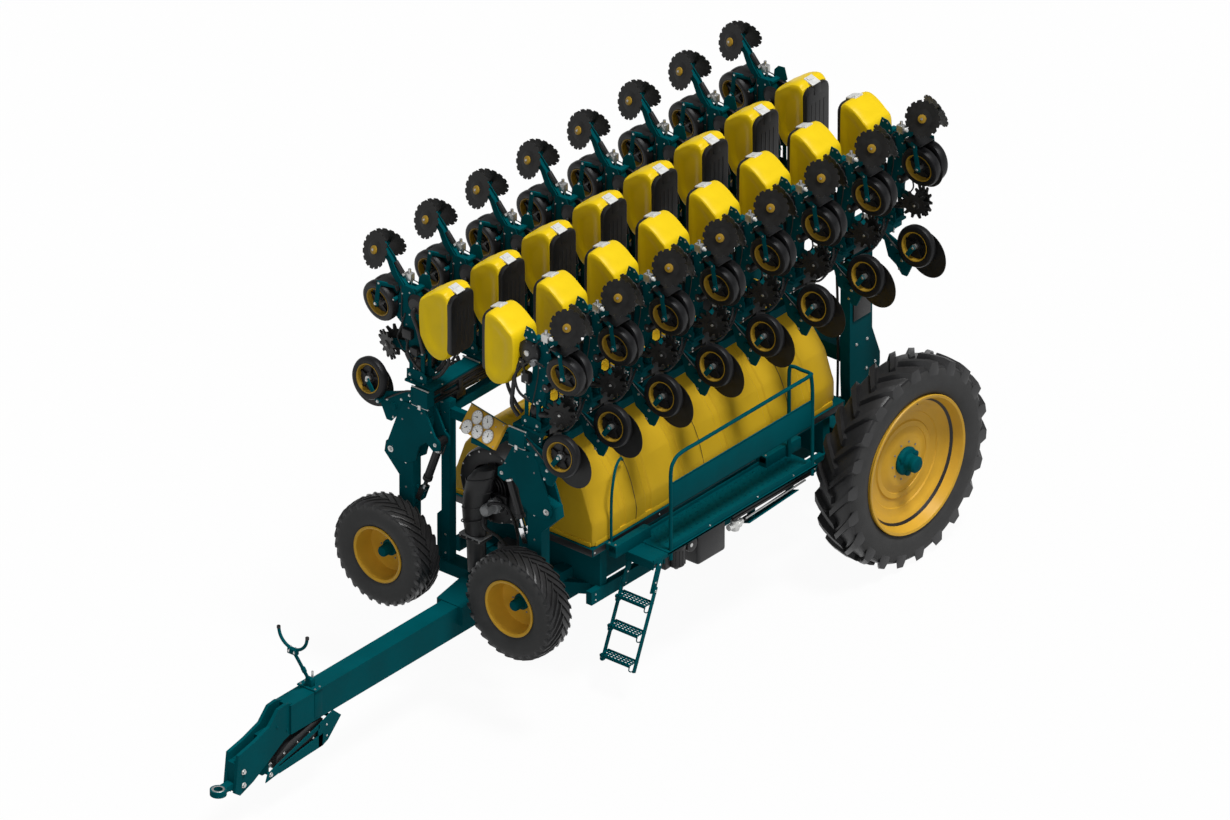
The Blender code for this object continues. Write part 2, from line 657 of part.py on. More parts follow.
def wing_tyre(side):
    profile = tyre_profile(WING_RIM_RADIUS + GAP, WING_TYRE_RADIUS, WING_TYRE_WIDTH)
    return turned(profile, (side * WING_WHEEL_X, WING_WHEEL_Y, WING_WHEEL_Z), "Y", WING_SIDES)


# ---------------------------------------------------------------- lift frame and wings


def lift_frame():
    """Two towers that turn on the main frame, tied by the centre toolbar, with the wing hinge ears."""
    tower = [
        (LIFT_PIVOT_Y - 0.12, 0.92), (LIFT_PIVOT_Y + 0.12, 0.92), (0.66, 1.57), (0.66, 1.69),
        (0.54, 2.01), (0.54, TOWER_TOP), (0.20, TOWER_TOP), (0.20, 1.60),
    ]
    shapes, bores = [], []
    ear_low = (BEAM_UNDER - GAP - EAR_THICKNESS, BEAM_UNDER - GAP)
    ear_high = (BEAM_TOP + GAP, BEAM_TOP + GAP + EAR_THICKNESS)
    inner = BEAM_X - BEAM_SIZE / 2
    for side in (-1, 1):
        shapes.append(prism(tower, "X", sorted((side * LIFT_PLATE_X, side * (LIFT_PLATE_X + LIFT_PLATE)))))
        for ear in (ear_low, ear_high):
            shapes.append(block(sorted((side * 0.50, side * (BEAM_X + 0.10))), (0.24, HINGE_Y + 0.045), ear))
            shapes.append(block(sorted((side * 0.38, side * 0.52)), (0.245, 0.415), ear))
        inboard = sorted((side * 0.39, side * (inner - 0.03)))
        shapes.append(block(inboard, (0.25, 0.41), (ear_low[0] + 0.01, ear_high[1] - 0.01)))
        pin = [(side * BEAM_X, HINGE_Y, z) for z in (ear_low[0] + 0.01, ear_high[1] - 0.01)]
        shapes.append(rod(*pin, HINGE_PIN_RADIUS, 12))
        bore = [(side * x, LIFT_PIVOT_Y, LIFT_PIVOT_Z) for x in (RAIL_X, LIFT_PLATE_X + LIFT_PLATE + 0.05)]
        bores.append(rod(*bore, LIFT_PIN_RADIUS + LIFT_PIN_CLEARANCE, 12))
    shapes.append(block((-0.42, 0.42), (0.255, 0.405), (BEAM_UNDER + 0.005, BEAM_TOP - 0.005)))
    shapes.append(block((-LIFT_PLATE_X - 0.02, LIFT_PLATE_X + 0.02), (0.30, 0.46), (1.66, 1.82)))
    return joined(shapes, bores)


def opener_shapes(y):
    """A row's head plate with the fertilizer opener that hangs beside the row."""
    face = BEAM_SIZE / 2
    arm = [
        (face - 0.03, 0.07), (face + 0.06, 0.02), (0.47, -0.10), (0.54, -0.17), (0.43, -0.39), (0.36, -0.39),
        (0.20, -0.25), (0.15, -0.07), (face - 0.03, -0.07),
    ]
    arm_y = y - 0.125
    outline = [(BEAM_X + out, BEAM_Z + up) for out, up in arm]
    hub = (BEAM_X + 0.56, BEAM_X + 0.63), (y - 0.21, y - 0.07), (BEAM_Z - 0.06, BEAM_Z + 0.05)
    return [
        block((BEAM_X - face, BEAM_X + HEAD_REACH), (y - 0.10, y + 0.10), (BEAM_TOP - 0.01, HEAD_TOP)),
        prism(outline, "Y", (arm_y - 0.02, arm_y + 0.02)),
        block(*hub),
        bar((BEAM_X + 0.46, arm_y, BEAM_Z - 0.14), (BEAM_X + 0.60, arm_y, BEAM_Z + 0.02), 0.036, 0.07),
        tread_disc((BEAM_X + 0.59, y - 0.185, BEAM_Z + 0.03), OPENER_WHEEL_RADIUS, 0.09, 8),
        tread_disc((BEAM_X + 0.64, y - 0.085, BEAM_Z - 0.08), OPENER_DISC_RADIUS, 0.018, 8),
    ]


def wing_beam(side):
    """A wing toolbar with its under-tube, front head bracket, row brackets and openers."""
    half = BEAM_SIZE / 2
    stay = STAY_SIZE / 2
    shapes = [
        block((BEAM_X - half, BEAM_X + half), (BEAM_FRONT, BEAM_REAR), (BEAM_Z - half, BEAM_Z + half)),
        block((BEAM_X - stay, BEAM_X + stay), (BEAM_FRONT + 0.05, -0.25), (STAY_Z - stay, STAY_Z + stay)),
    ]
    for y in (-2.7, -0.35):
        strut = (BEAM_X - 0.03, BEAM_X + 0.03), (y - 0.05, y + 0.05)
        shapes.append(block(*strut, (STAY_Z, BEAM_UNDER + 0.01)))
    shapes += head_bracket_shapes()
    for row in range(ROWS_PER_WING):
        shapes += opener_shapes(FIRST_ROW_Y + row * ROW_PITCH)
    reach = BEAM_SIZE
    ends = [(BEAM_X, HINGE_Y, BEAM_Z + z) for z in (-reach, reach)]
    bore = rod(*ends, HINGE_PIN_RADIUS + HINGE_BORE_CLEARANCE, 12)
    return mirrored_for(joined(shapes, [bore]), side)


def head_bracket_shapes():
    """The plates under a wing's front end that carry the wing wheel's leg and its ram."""
    outline = [
        (0.42, 2.64), (0.36, 2.60), (0.36, 2.50), (0.44, 2.47), (0.56, 2.60), (0.76, 2.54), (0.90, 2.25),
        (1.00, 2.25), (1.03, 2.34), (0.86, 2.82), (0.76, 2.90), (0.55, 2.90),
    ]
    shapes = []
    front, rear = LEG_Y - LEG_DEPTH / 2 - GAP, LEG_Y + LEG_DEPTH / 2 + GAP
    for y in ((front - 0.03, front), (rear, rear + 0.03)):
        shapes.append(prism(outline, "Y", y))
    span = (front - 0.02, rear + 0.02)
    shapes.append(block((BEAM_X - 0.05, BEAM_X + 0.14), span, (2.78, BEAM_UNDER + 0.02)))
    leg_pin = [(LEG_PIVOT_X, y, LEG_PIVOT_Z) for y in span]
    shapes.append(rod(*leg_pin, LEG_PIN_RADIUS, 10))
    ram_pin = [(RAM_TOP_X, y, RAM_TOP_Z) for y in span]
    shapes.append(rod(*ram_pin, RAM_PIN_RADIUS, 8))
    return shapes


def mirrored_for(bm, side):
    """The near wing's shape as it is, or mirrored over the centre line for the far one."""
    if side < 0:
        bmesh.ops.scale(bm, vec=(-1, 1, 1), verts=bm.verts)
        bmesh.ops.reverse_faces(bm, faces=bm.faces)
    return bm


def wing_leg(side):
    """The leg under a wing's end, from its pivot pin down to the wheel spindle."""
    wide, deep = LEG_WIDTH / 2, LEG_DEPTH / 2
    front = LEG_Y - deep
    top = [
        (LEG_X - wide, 2.06), (LEG_X - wide, 2.30), (0.86, 2.42), (1.05, 2.37), (1.07, 2.25),
        (LEG_X + wide, 2.06),
    ]
    lug_x = LEG_X - wide + 0.02
    lug = [(lug_x, 2.00), (RAM_FOOT_X - 0.02, 1.92), (RAM_FOOT_X - 0.02, 1.84), (lug_x, 1.76)]
    spindle = [(WING_WHEEL_X, y, WING_WHEEL_Z) for y in (front + 0.02, front - WING_SPINDLE)]
    shapes = [
        block((LEG_X - wide, LEG_X + wide), (front, LEG_Y + deep), (LEG_BOTTOM, 2.08)),
        prism(top, "Y", (front, LEG_Y + deep)),
        prism(lug, "Y", (LEG_Y - LUG / 2, LEG_Y + LUG / 2)),
        rod(*spindle, 0.06, 10),
    ]
    bore_ends = [(LEG_PIVOT_X, LEG_Y + y, LEG_PIVOT_Z) for y in (-0.3, 0.3)]
    bore = rod(*bore_ends, LEG_PIN_RADIUS + LEG_BORE_CLEARANCE, 10)
    return mirrored_for(joined(shapes, [bore]), side)


def ram_line():
    return Vector((RAM_TOP_X, LEG_Y, RAM_TOP_Z)), Vector((RAM_FOOT_X, LEG_Y, RAM_FOOT_Z))


def ram_barrel(side):
    """The leg ram's barrel, hung on the bracket's cross pin by its eye."""
    top, foot = ram_line()
    along = (foot - top).normalized()
    eye = Vector((0, LEG_DEPTH / 2 - 0.002, 0))
    reach = Vector((0, 0.2, 0))
    shapes = [
        rod(top - eye, top + eye, 0.045, 10),
        rod(top + along * 0.02, top + along * RAM_BARREL, RAM_BARREL_RADIUS, 10),
    ]
    bores = [
        rod(top - reach, top + reach, RAM_PIN_RADIUS + LEG_BORE_CLEARANCE, 8),
        rod(top + along * 0.08, top + along * 0.60, RAM_ROD_RADIUS + RAM_ROD_CLEARANCE, 8),
    ]
    return mirrored_for(joined(shapes, bores), side)


def ram_rod(side):
    """The leg ram's rod, with a fork that straddles the leg's lug."""
    top, foot = ram_line()
    along = (foot - top).normalized()
    shapes = [
        rod(top + along * 0.10, foot - along * 0.09, RAM_ROD_RADIUS, 8),
        bar(foot - along * 0.13, foot - along * 0.085, LUG + 0.05, 0.06),
    ]
    for hand in (-1, 1):
        cheek = Vector((0, hand * (LUG / 2 + GAP + 0.012), 0))
        shapes.append(bar(foot - along * 0.12 + cheek, foot + along * 0.03 + cheek, 0.024, 0.06))
    return mirrored_for(joined(shapes), side)


# ---------------------------------------------------------------- row units
def row_unit():
    """One seed row unit: arms, frame, gauge wheels, cleaner and closing discs.

    It is laid out from the toolbar's centre at the row: out from the machine, along, and up.
    """
    spread = GAUGE_WHEEL_SPREAD / 2
    foot = BEAM_SIZE / 2 + HEAD_PLATE + GAP
    frame = [(0.02, 0.38), (0.02, 1.10), (0.22, 1.10), (0.36, 0.94), (0.40, 0.70), (0.33, 0.46), (0.16, 0.30)]
    shapes = [
        block((0.0, HEAD_REACH), (-0.07, 0.07), (foot, foot + 0.05)),
        block((0.02, 0.07), (-0.06, 0.06), (foot + 0.02, 0.44)),
        block((0.16, 0.21), (-0.06, 0.06), (foot + 0.02, 0.42)),
        prism(frame, "Y", (-0.045, 0.045)),
        tread_disc((0.58, 0, 0.80), SEED_DISC_RADIUS, 0.016, 6),
        bar((0.36, 0, 0.84), (0.57, 0, 0.847), 0.05, 0.08),
        bar((0.20, 0, 1.06), (0.594, 0, 1.41), 0.05, 0.08),
        block((0.57, 0.615), (-0.10, 0.10), (1.39, 1.43)),
        bar((0.24, 0, 0.42), (0.47, 0, 0.39), 0.04, 0.06),
        block((0.45, 0.49), (-0.08, 0.08), (0.37, 0.41)),
    ]
    for side in (-1, 1):
        gauge = (0.551, side * spread, 0.847)
        shapes.append(tread_disc(gauge, GAUGE_WHEEL_RADIUS, GAUGE_WHEEL_WIDTH, 8))
        closing = (0.594, side * 0.085, 1.41)
        shapes.append(tread_disc(closing, CLOSING_DISC_RADIUS, 0.016, 6))
        shapes.append(tread_disc((0.47, side * 0.07, 0.39), CLEANER_RADIUS, 0.016, 6))
    return joined(shapes)


def seed_hopper():
    """One seed hopper on the row unit's frame, laid out as the row unit is."""
    half = HOPPER_WIDTH / 2
    outline = [
        (HOPPER_INNER, 0.64), (-0.34, 0.54), (-0.24, 0.50), (-0.12, 0.55), (HOPPER_OUTER, 0.74),
        (HOPPER_OUTER, 1.09), (-0.18, 1.25), (-0.29, 1.285), (-0.38, 1.26), (HOPPER_INNER, 1.19),
    ]
    neck = block((HOPPER_OUTER - 0.02, 0.02 - GAP), (-0.045, 0.045), (0.82, 1.02))
    return joined([prism(outline, "Y", (-half, half)), neck])


def place_rows(side, wing):
    """Eight units along a wing. The far wing's are the near wing's turned half round, not mirrored."""
    word = "left" if side > 0 else "right"
    unit_mesh, hopper_mesh = row_meshes()
    for row in range(ROWS_PER_WING):
        at = (side * BEAM_X, FIRST_ROW_Y + row * ROW_PITCH, BEAM_Z)
        slide = pivot(f"{word}_row_slide_{row + 1}", at, wing)
        slide.rotation_euler.z = 0 if side > 0 else math.pi
        for name, mesh in (("row_unit", unit_mesh), ("seed_hopper", hopper_mesh)):
            piece = bpy.data.objects.new(f"{name}_{word}_{row + 1}", mesh)
            bpy.context.scene.collection.objects.link(piece)
            piece.parent = slide


def row_meshes():
    """The meshes that all the rows share, measured from the toolbar's centre at the row."""
    found = bpy.data.meshes.get("row_unit"), bpy.data.meshes.get("seed_hopper")
    if all(found):
        return found
    meshes = []
    kinds = ("row_unit", row_unit(), "teal_paint"), ("seed_hopper", seed_hopper(), "yellow_plastic")
    for name, bm, paint in kinds:
        mesh = bpy.data.meshes.new(name)
        bm.to_mesh(mesh)
        bm.free()
        mesh.materials.append(material(paint))
        meshes.append(mesh)
    return meshes


# ---------------------------------------------------------------- assembly
def build_chassis(datum):
    place("drawbar", drawbar(), "teal_paint", datum)
    place("hose_stand", hose_stand(), "teal_paint", datum)
    place("main_frame", main_frame(), "teal_paint", datum)
    place("fertilizer_tank", fertilizer_tank(), "yellow_plastic", datum, smooth=True)
    place("fan_housing", fan_housing(), "black_plastic", datum)
    place("gauge_panel", gauge_panel(), "yellow_paint", datum)
    place("walkway", walkway(), "teal_paint", datum)
    place("pump_box", pump_box(), "black_plastic", datum)
    place("hitch_ring", hitch_ring(), "teal_paint", datum)
    jack_axis = pivot("jack_pivot", (0, JACK_PIVOT_Y, JACK_PIVOT_Z), datum)
    place("parking_jack", parking_jack(), "teal_paint", jack_axis)
    ladder_axis = pivot("ladder_pivot", (0, LADDER_PIVOT_Y, LADDER_PIVOT_Z), datum)
    place("ladder", ladder(), "teal_paint", ladder_axis)


def build_road_wheel(side, datum):
    word = "left" if side > 0 else "right"
    axis = pivot(f"{word}_road_wheel_axis", (side * ROAD_TRACK / 2, 0, ROAD_TYRE_RADIUS), datum)
    place(f"{word}_road_rim", road_rim(side), "yellow_paint", axis, smooth=True)
    place(f"{word}_road_tyre", road_tyre(side), "tyre_rubber", axis, smooth=True)


def build_wing(side, lift):
    word = "left" if side > 0 else "right"
    wing = pivot(f"{word}_wing_hinge", (side * BEAM_X, HINGE_Y, BEAM_Z), lift)
    place(f"{word}_wing_beam", wing_beam(side), "teal_paint", wing)
    leg = pivot(f"{word}_leg_pivot", (side * LEG_PIVOT_X, LEG_Y, LEG_PIVOT_Z), wing)
    place(f"{word}_wing_leg", wing_leg(side), "teal_paint", leg)
    wheel = pivot(f"{word}_wing_wheel_axis", (side * WING_WHEEL_X, WING_WHEEL_Y, WING_WHEEL_Z), leg)
    place(f"{word}_wing_rim", wing_rim(side), "yellow_paint", wheel, smooth=True)
    place(f"{word}_wing_tyre", wing_tyre(side), "tyre_rubber", wheel, smooth=True)
    ram = pivot(f"{word}_ram_pivot", (side * RAM_TOP_X, LEG_Y, RAM_TOP_Z), wing)
    place(f"{word}_ram_barrel", ram_barrel(side), "black_plastic", ram, smooth=True)
    place(f"{word}_ram_rod", ram_rod(side), "zinc", ram)
    place_rows(side, wing)


def build():
    clear_scene()
    datum = bpy.data.objects.new("datum", None)
    bpy.context.scene.collection.objects.link(datum)
    datum.location = (0, DATUM_Y, 0)
    build_chassis(datum)
    lift = pivot("lift_pivot", (0, LIFT_PIVOT_Y, LIFT_PIVOT_Z), datum)
    place("lift_frame", lift_frame(), "teal_paint", lift)
    for side in (1, -1):
        build_road_wheel(side, datum)
        build_wing(side, lift)
    bpy.context.view_layer.update()


build()
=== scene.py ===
"""Looks for the folded corn planter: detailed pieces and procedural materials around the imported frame."""

import math

import bmesh
import bpy
from mathutils import Matrix, Vector


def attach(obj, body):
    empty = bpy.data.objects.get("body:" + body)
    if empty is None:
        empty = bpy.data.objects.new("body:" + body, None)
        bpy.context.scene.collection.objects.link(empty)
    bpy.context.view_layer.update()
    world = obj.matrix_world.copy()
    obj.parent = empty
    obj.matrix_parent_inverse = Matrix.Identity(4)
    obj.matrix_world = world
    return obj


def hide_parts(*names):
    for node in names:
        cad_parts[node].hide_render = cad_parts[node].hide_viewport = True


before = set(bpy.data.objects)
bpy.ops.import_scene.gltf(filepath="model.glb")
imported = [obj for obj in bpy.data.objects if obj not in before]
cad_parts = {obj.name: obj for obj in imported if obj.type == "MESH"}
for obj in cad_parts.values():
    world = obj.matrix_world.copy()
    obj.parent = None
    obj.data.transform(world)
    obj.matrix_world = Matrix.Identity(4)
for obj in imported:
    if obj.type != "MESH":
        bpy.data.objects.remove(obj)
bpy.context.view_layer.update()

# ---------------------------------------------------------------- sizes, in metres, laid out as the CAD is
DY = 3.691  # from the datum under the rear axle to the row frame's origin
PITCH = 0.762
ROWS = 8
BEAM_X, BEAM_Z, BEAM = 0.6, 3.003, 0.178
LAST_Y = 0.595 + BEAM_X - PITCH / 2
FIRST_Y = LAST_Y - (ROWS - 1) * PITCH
HEAD_TOP = BEAM / 2 + 0.025
SIDES = {"left": 1, "right": -1}
ROAD_X, ROAD_Z = 1.524, 1.08  # the road wheels' centres; they turn about X
WING_X, WING_Y, WING_Z = 0.82, -4.9, 1.373  # the wing wheels' centres; they turn about Y
RAM_TOP_X, RAM_TOP_Z = 0.415, 2.557
RAM_FOOT_X, RAM_FOOT_Z = 0.66, 1.88

# ---------------------------------------------------------------- light and camera
FLOOR_WHITE, FLOOR_GLOW, FLOOR_GREY = 0.9, 1.06, (0.32, 0.32, 0.32, 1)
SKY, SKY_COLOUR = 0.32, (0.97, 0.985, 1.0, 1)
# name, way to it, energy and width in degrees
SUNS = (("key", (0.35, 0.02, 1.0), 2.7, 14), ("fill", (1.0, -1.15, 0.3), 0.44, 40))
WIDE = 11.8  # metres across the picture
LENS, SENSOR = 1100.0, 36.0  # in millimetres: a long lens, seen from far off
VIEW_WAY = Vector((0.5563, -0.67, 0.4917)).normalized()
VIEW_TARGET = Vector((0.0, -2.474 + DY, 2.141))
DUST_COLOUR = (0.3, 0.25, 0.18, 1)


# ---------------------------------------------------------------- materials
def feed(tree, node, values=(), sources=()):
    """Sets a shader node's inputs, by name or number, to values and to other nodes' outputs."""
    for key, value in dict(values).items():
        node.inputs[key].default_value = value
    for key, output in dict(sources).items():
        tree.links.new(output, node.inputs[key])
    return node


def add_node(tree, kind, values=(), sources=(), **settings):
    """A new shader node with its settings, values and sources."""
    made = tree.nodes.new("ShaderNode" + kind)
    for key, value in settings.items():
        setattr(made, key, value)
    return feed(tree, made, values, sources)


def paint(name, colour, rough, metal=0.0, coat=0.0, vary=0.12, scale=6.0, bump=0.02, grain=220.0, dust=0.0,
          rough_vary=0.12, shine=0.35):
    """A Principled material whose colour, roughness and relief vary by noise; dust lies on what faces up."""
    made = bpy.data.materials.new(name)
    made.use_nodes = True
    tree = made.node_tree
    place = {"Vector": add_node(tree, "TexCoord").outputs["Object"]}
    wide = add_node(tree, "TexNoise", {"Scale": scale, "Detail": 5.0}, place).outputs["Fac"]
    ramp = add_node(tree, "ValToRGB", sources={"Fac": wide})
    for stop, spot, share in zip(ramp.color_ramp.elements, (0.3, 0.72), (1 - vary, 1 + vary)):
        stop.position = spot
        stop.color = (*[min(1.0, c * share) for c in colour], 1)
    out = ramp.outputs["Color"]
    if dust:
        facing = add_node(tree, "NewGeometry").outputs["Normal"]
        upward = add_node(tree, "SeparateXYZ", sources={"Vector": facing}).outputs["Z"]
        patch = add_node(tree, "TexNoise", {"Scale": 3.1, "Detail": 8.0}, place).outputs["Fac"]
        level = add_node(tree, "MapRange", {"From Min": 0.2, "From Max": 1.0, "To Max": dust},
                         {"Value": upward})
        times = add_node(tree, "Math", sources={0: level.outputs["Result"], 1: patch}, operation="MULTIPLY")
        out = add_node(tree, "Mix", {"B": DUST_COLOUR}, {"Factor": times.outputs["Value"], "A": out},
                       data_type="RGBA").outputs["Result"]
    least, most = max(0.03, rough - rough_vary), min(1.0, rough + rough_vary)
    spread = add_node(tree, "MapRange", {"To Min": least, "To Max": most},
                      {"Value": wide}).outputs["Result"]
    fine = add_node(tree, "TexNoise", {"Scale": grain, "Detail": 2.0}, place).outputs["Fac"]
    relief = add_node(tree, "Bump", {"Strength": bump, "Distance": 0.004},
                      {"Height": fine}).outputs["Normal"]
    feed(tree, tree.nodes["Principled BSDF"], {"Metallic": metal, "Coat Weight": coat,
                                               "Coat Roughness": 0.12, "Specular IOR Level": shine},
         {"Base Color": out, "Roughness": spread, "Normal": relief})
    return made


# name of the paint: its material and its slot
PAINTS = {
    "teal": (paint("teal_enamel", (0.0001, 0.072, 0.086), 0.5, vary=0.14, scale=2.2, bump=0.05,
                   grain=160, shine=0.02), "teal_paint"),
    "yellow": (paint("yellow_enamel", (0.64, 0.36, 0.03), 0.42, vary=0.12, scale=2.5, bump=0.05,
                     grain=160, dust=0.05, shine=0.2), "yellow_paint"),
    # ochre: a darker copy of the yellow paint, which paints shade on the small wheels' rims and the closing
    # discs' hubs
    "ochre": (paint("dim_yellow_painted_shade", (0.34, 0.2, 0.014), 0.45, vary=0.18, scale=9.0, bump=0.06, grain=200,
                    dust=0.1, shine=0.25), "yellow_paint"),
    "tank": (paint("tank_polythene", (0.585, 0.365, 0.015), 0.5, vary=0.09, scale=1.4, bump=0.12, grain=90,
                   shine=0.12), "yellow_plastic"),
    "hopper": (paint("hopper_polythene", (0.86, 0.6, 0.006), 0.4, vary=0.07, scale=3.0, bump=0.1,
                     grain=120, shine=0.16), "yellow_plastic"),
    "black": (paint("black_moulding", (0.011, 0.011, 0.012), 0.44, vary=0.25, scale=4.0, bump=0.18, grain=260,
                    shine=0.35), "black_plastic"),
    "hose": (paint("hose_rubber", (0.01, 0.01, 0.011), 0.48, vary=0.25, scale=9.0, bump=0.25, grain=320),
             "black_plastic"),
    "tyre": (paint("tyre_rubber_worn", (0.04, 0.04, 0.04), 0.66, vary=0.25, scale=5.0, bump=0.35, grain=180,
                   dust=0.05, rough_vary=0.15, shine=0.25), "tyre_rubber"),
    "tread": (paint("tread_rubber", (0.016, 0.016, 0.017), 0.4, vary=0.25, scale=5.0, bump=0.25, grain=180,
                    dust=0.03, rough_vary=0.1, shine=0.35), "tyre_rubber"),
    "small_tyre": (paint("small_tyre_rubber", (0.009, 0.009, 0.01), 0.44, vary=0.3, scale=12.0, bump=0.15,
                         grain=260, shine=0.22), "tyre_rubber"),
    "disc": (paint("disc_steel_dark", (0.016, 0.0155, 0.015), 0.48, vary=0.35, scale=11.0, bump=0.15,
                   grain=240, rough_vary=0.18, shine=0.22), "teal_paint"),
    "zinc": (paint("bright_zinc", (0.55, 0.55, 0.54), 0.34, metal=0.85, vary=0.16, scale=14.0, bump=0.06,
                   grain=300, rough_vary=0.14), "zinc"),
    # latch: zinc pushed almost to white with little metal, a painted highlight
    "latch": (paint("whitened_zinc_painted_highlight", (0.72, 0.72, 0.7), 0.38, metal=0.15, vary=0.1, scale=14.0, bump=0.05,
                    grain=300, rough_vary=0.1), "zinc"),
    "chrome": (paint("ram_chrome", (0.75, 0.76, 0.77), 0.12, metal=1.0, vary=0.04, scale=8.0, bump=0.01,
                     grain=400, rough_vary=0.05), "zinc"),
    "grey": (paint("cast_grey", (0.24, 0.245, 0.25), 0.46, metal=0.3, vary=0.2, scale=12.0, bump=0.3,
                   grain=140), "black_plastic"),
    "white": (paint("dial_white", (0.92, 0.92, 0.9), 0.3, coat=0.3, vary=0.02, scale=5.0, bump=0.01,
                    grain=300), "zinc"),
}


# ---------------------------------------------------------------- small sums that the shapes share
def about(middle, half):
    """The span that reaches a half width to each side of the middle."""
    return (middle - half, middle + half)


def circle(count, phase=0.0):
    """(cosine, sine) at even steps round a circle."""
    return [(math.cos(a), math.sin(a)) for a in (2 * math.pi * k / count + phase for k in range(count))]


def curve_point(a, b, c, d, t):
    """A smooth curve through four points, read at a share of the way from b to c."""
    return 0.5 * ((2 * b) + (c - a) * t + (2 * a - 5 * b + 4 * c - d) * t * t
                  + (3 * b - a - 3 * c + d) * t ** 3)


def both_ways(profile):
    """A lathe profile and its mirror image, without repeating a point on the middle."""
    return profile + [(radius, -along) for radius, along in reversed(profile) if along]


def turn_to(axis):
    """The rotation that brings Z round to the axis."""
    return Vector(axis).to_track_quat("Z", "Y").to_matrix()


def skin(made, rings, ring_closed=True):
    """Faces between each ring of vertices and the next."""
    for here, there in zip(rings, rings[1:]):
        for k in range(len(here) if ring_closed else len(here) - 1):
            after = (k + 1) % len(here)
            made.faces.new((here[k], here[after], there[after], there[k]))


def cube(size):
    """A block of that size, round the origin."""
    made = bmesh.new()
    bmesh.ops.create_cube(made, size=1)
    bmesh.ops.scale(made, vec=size, verts=made.verts)
    return made


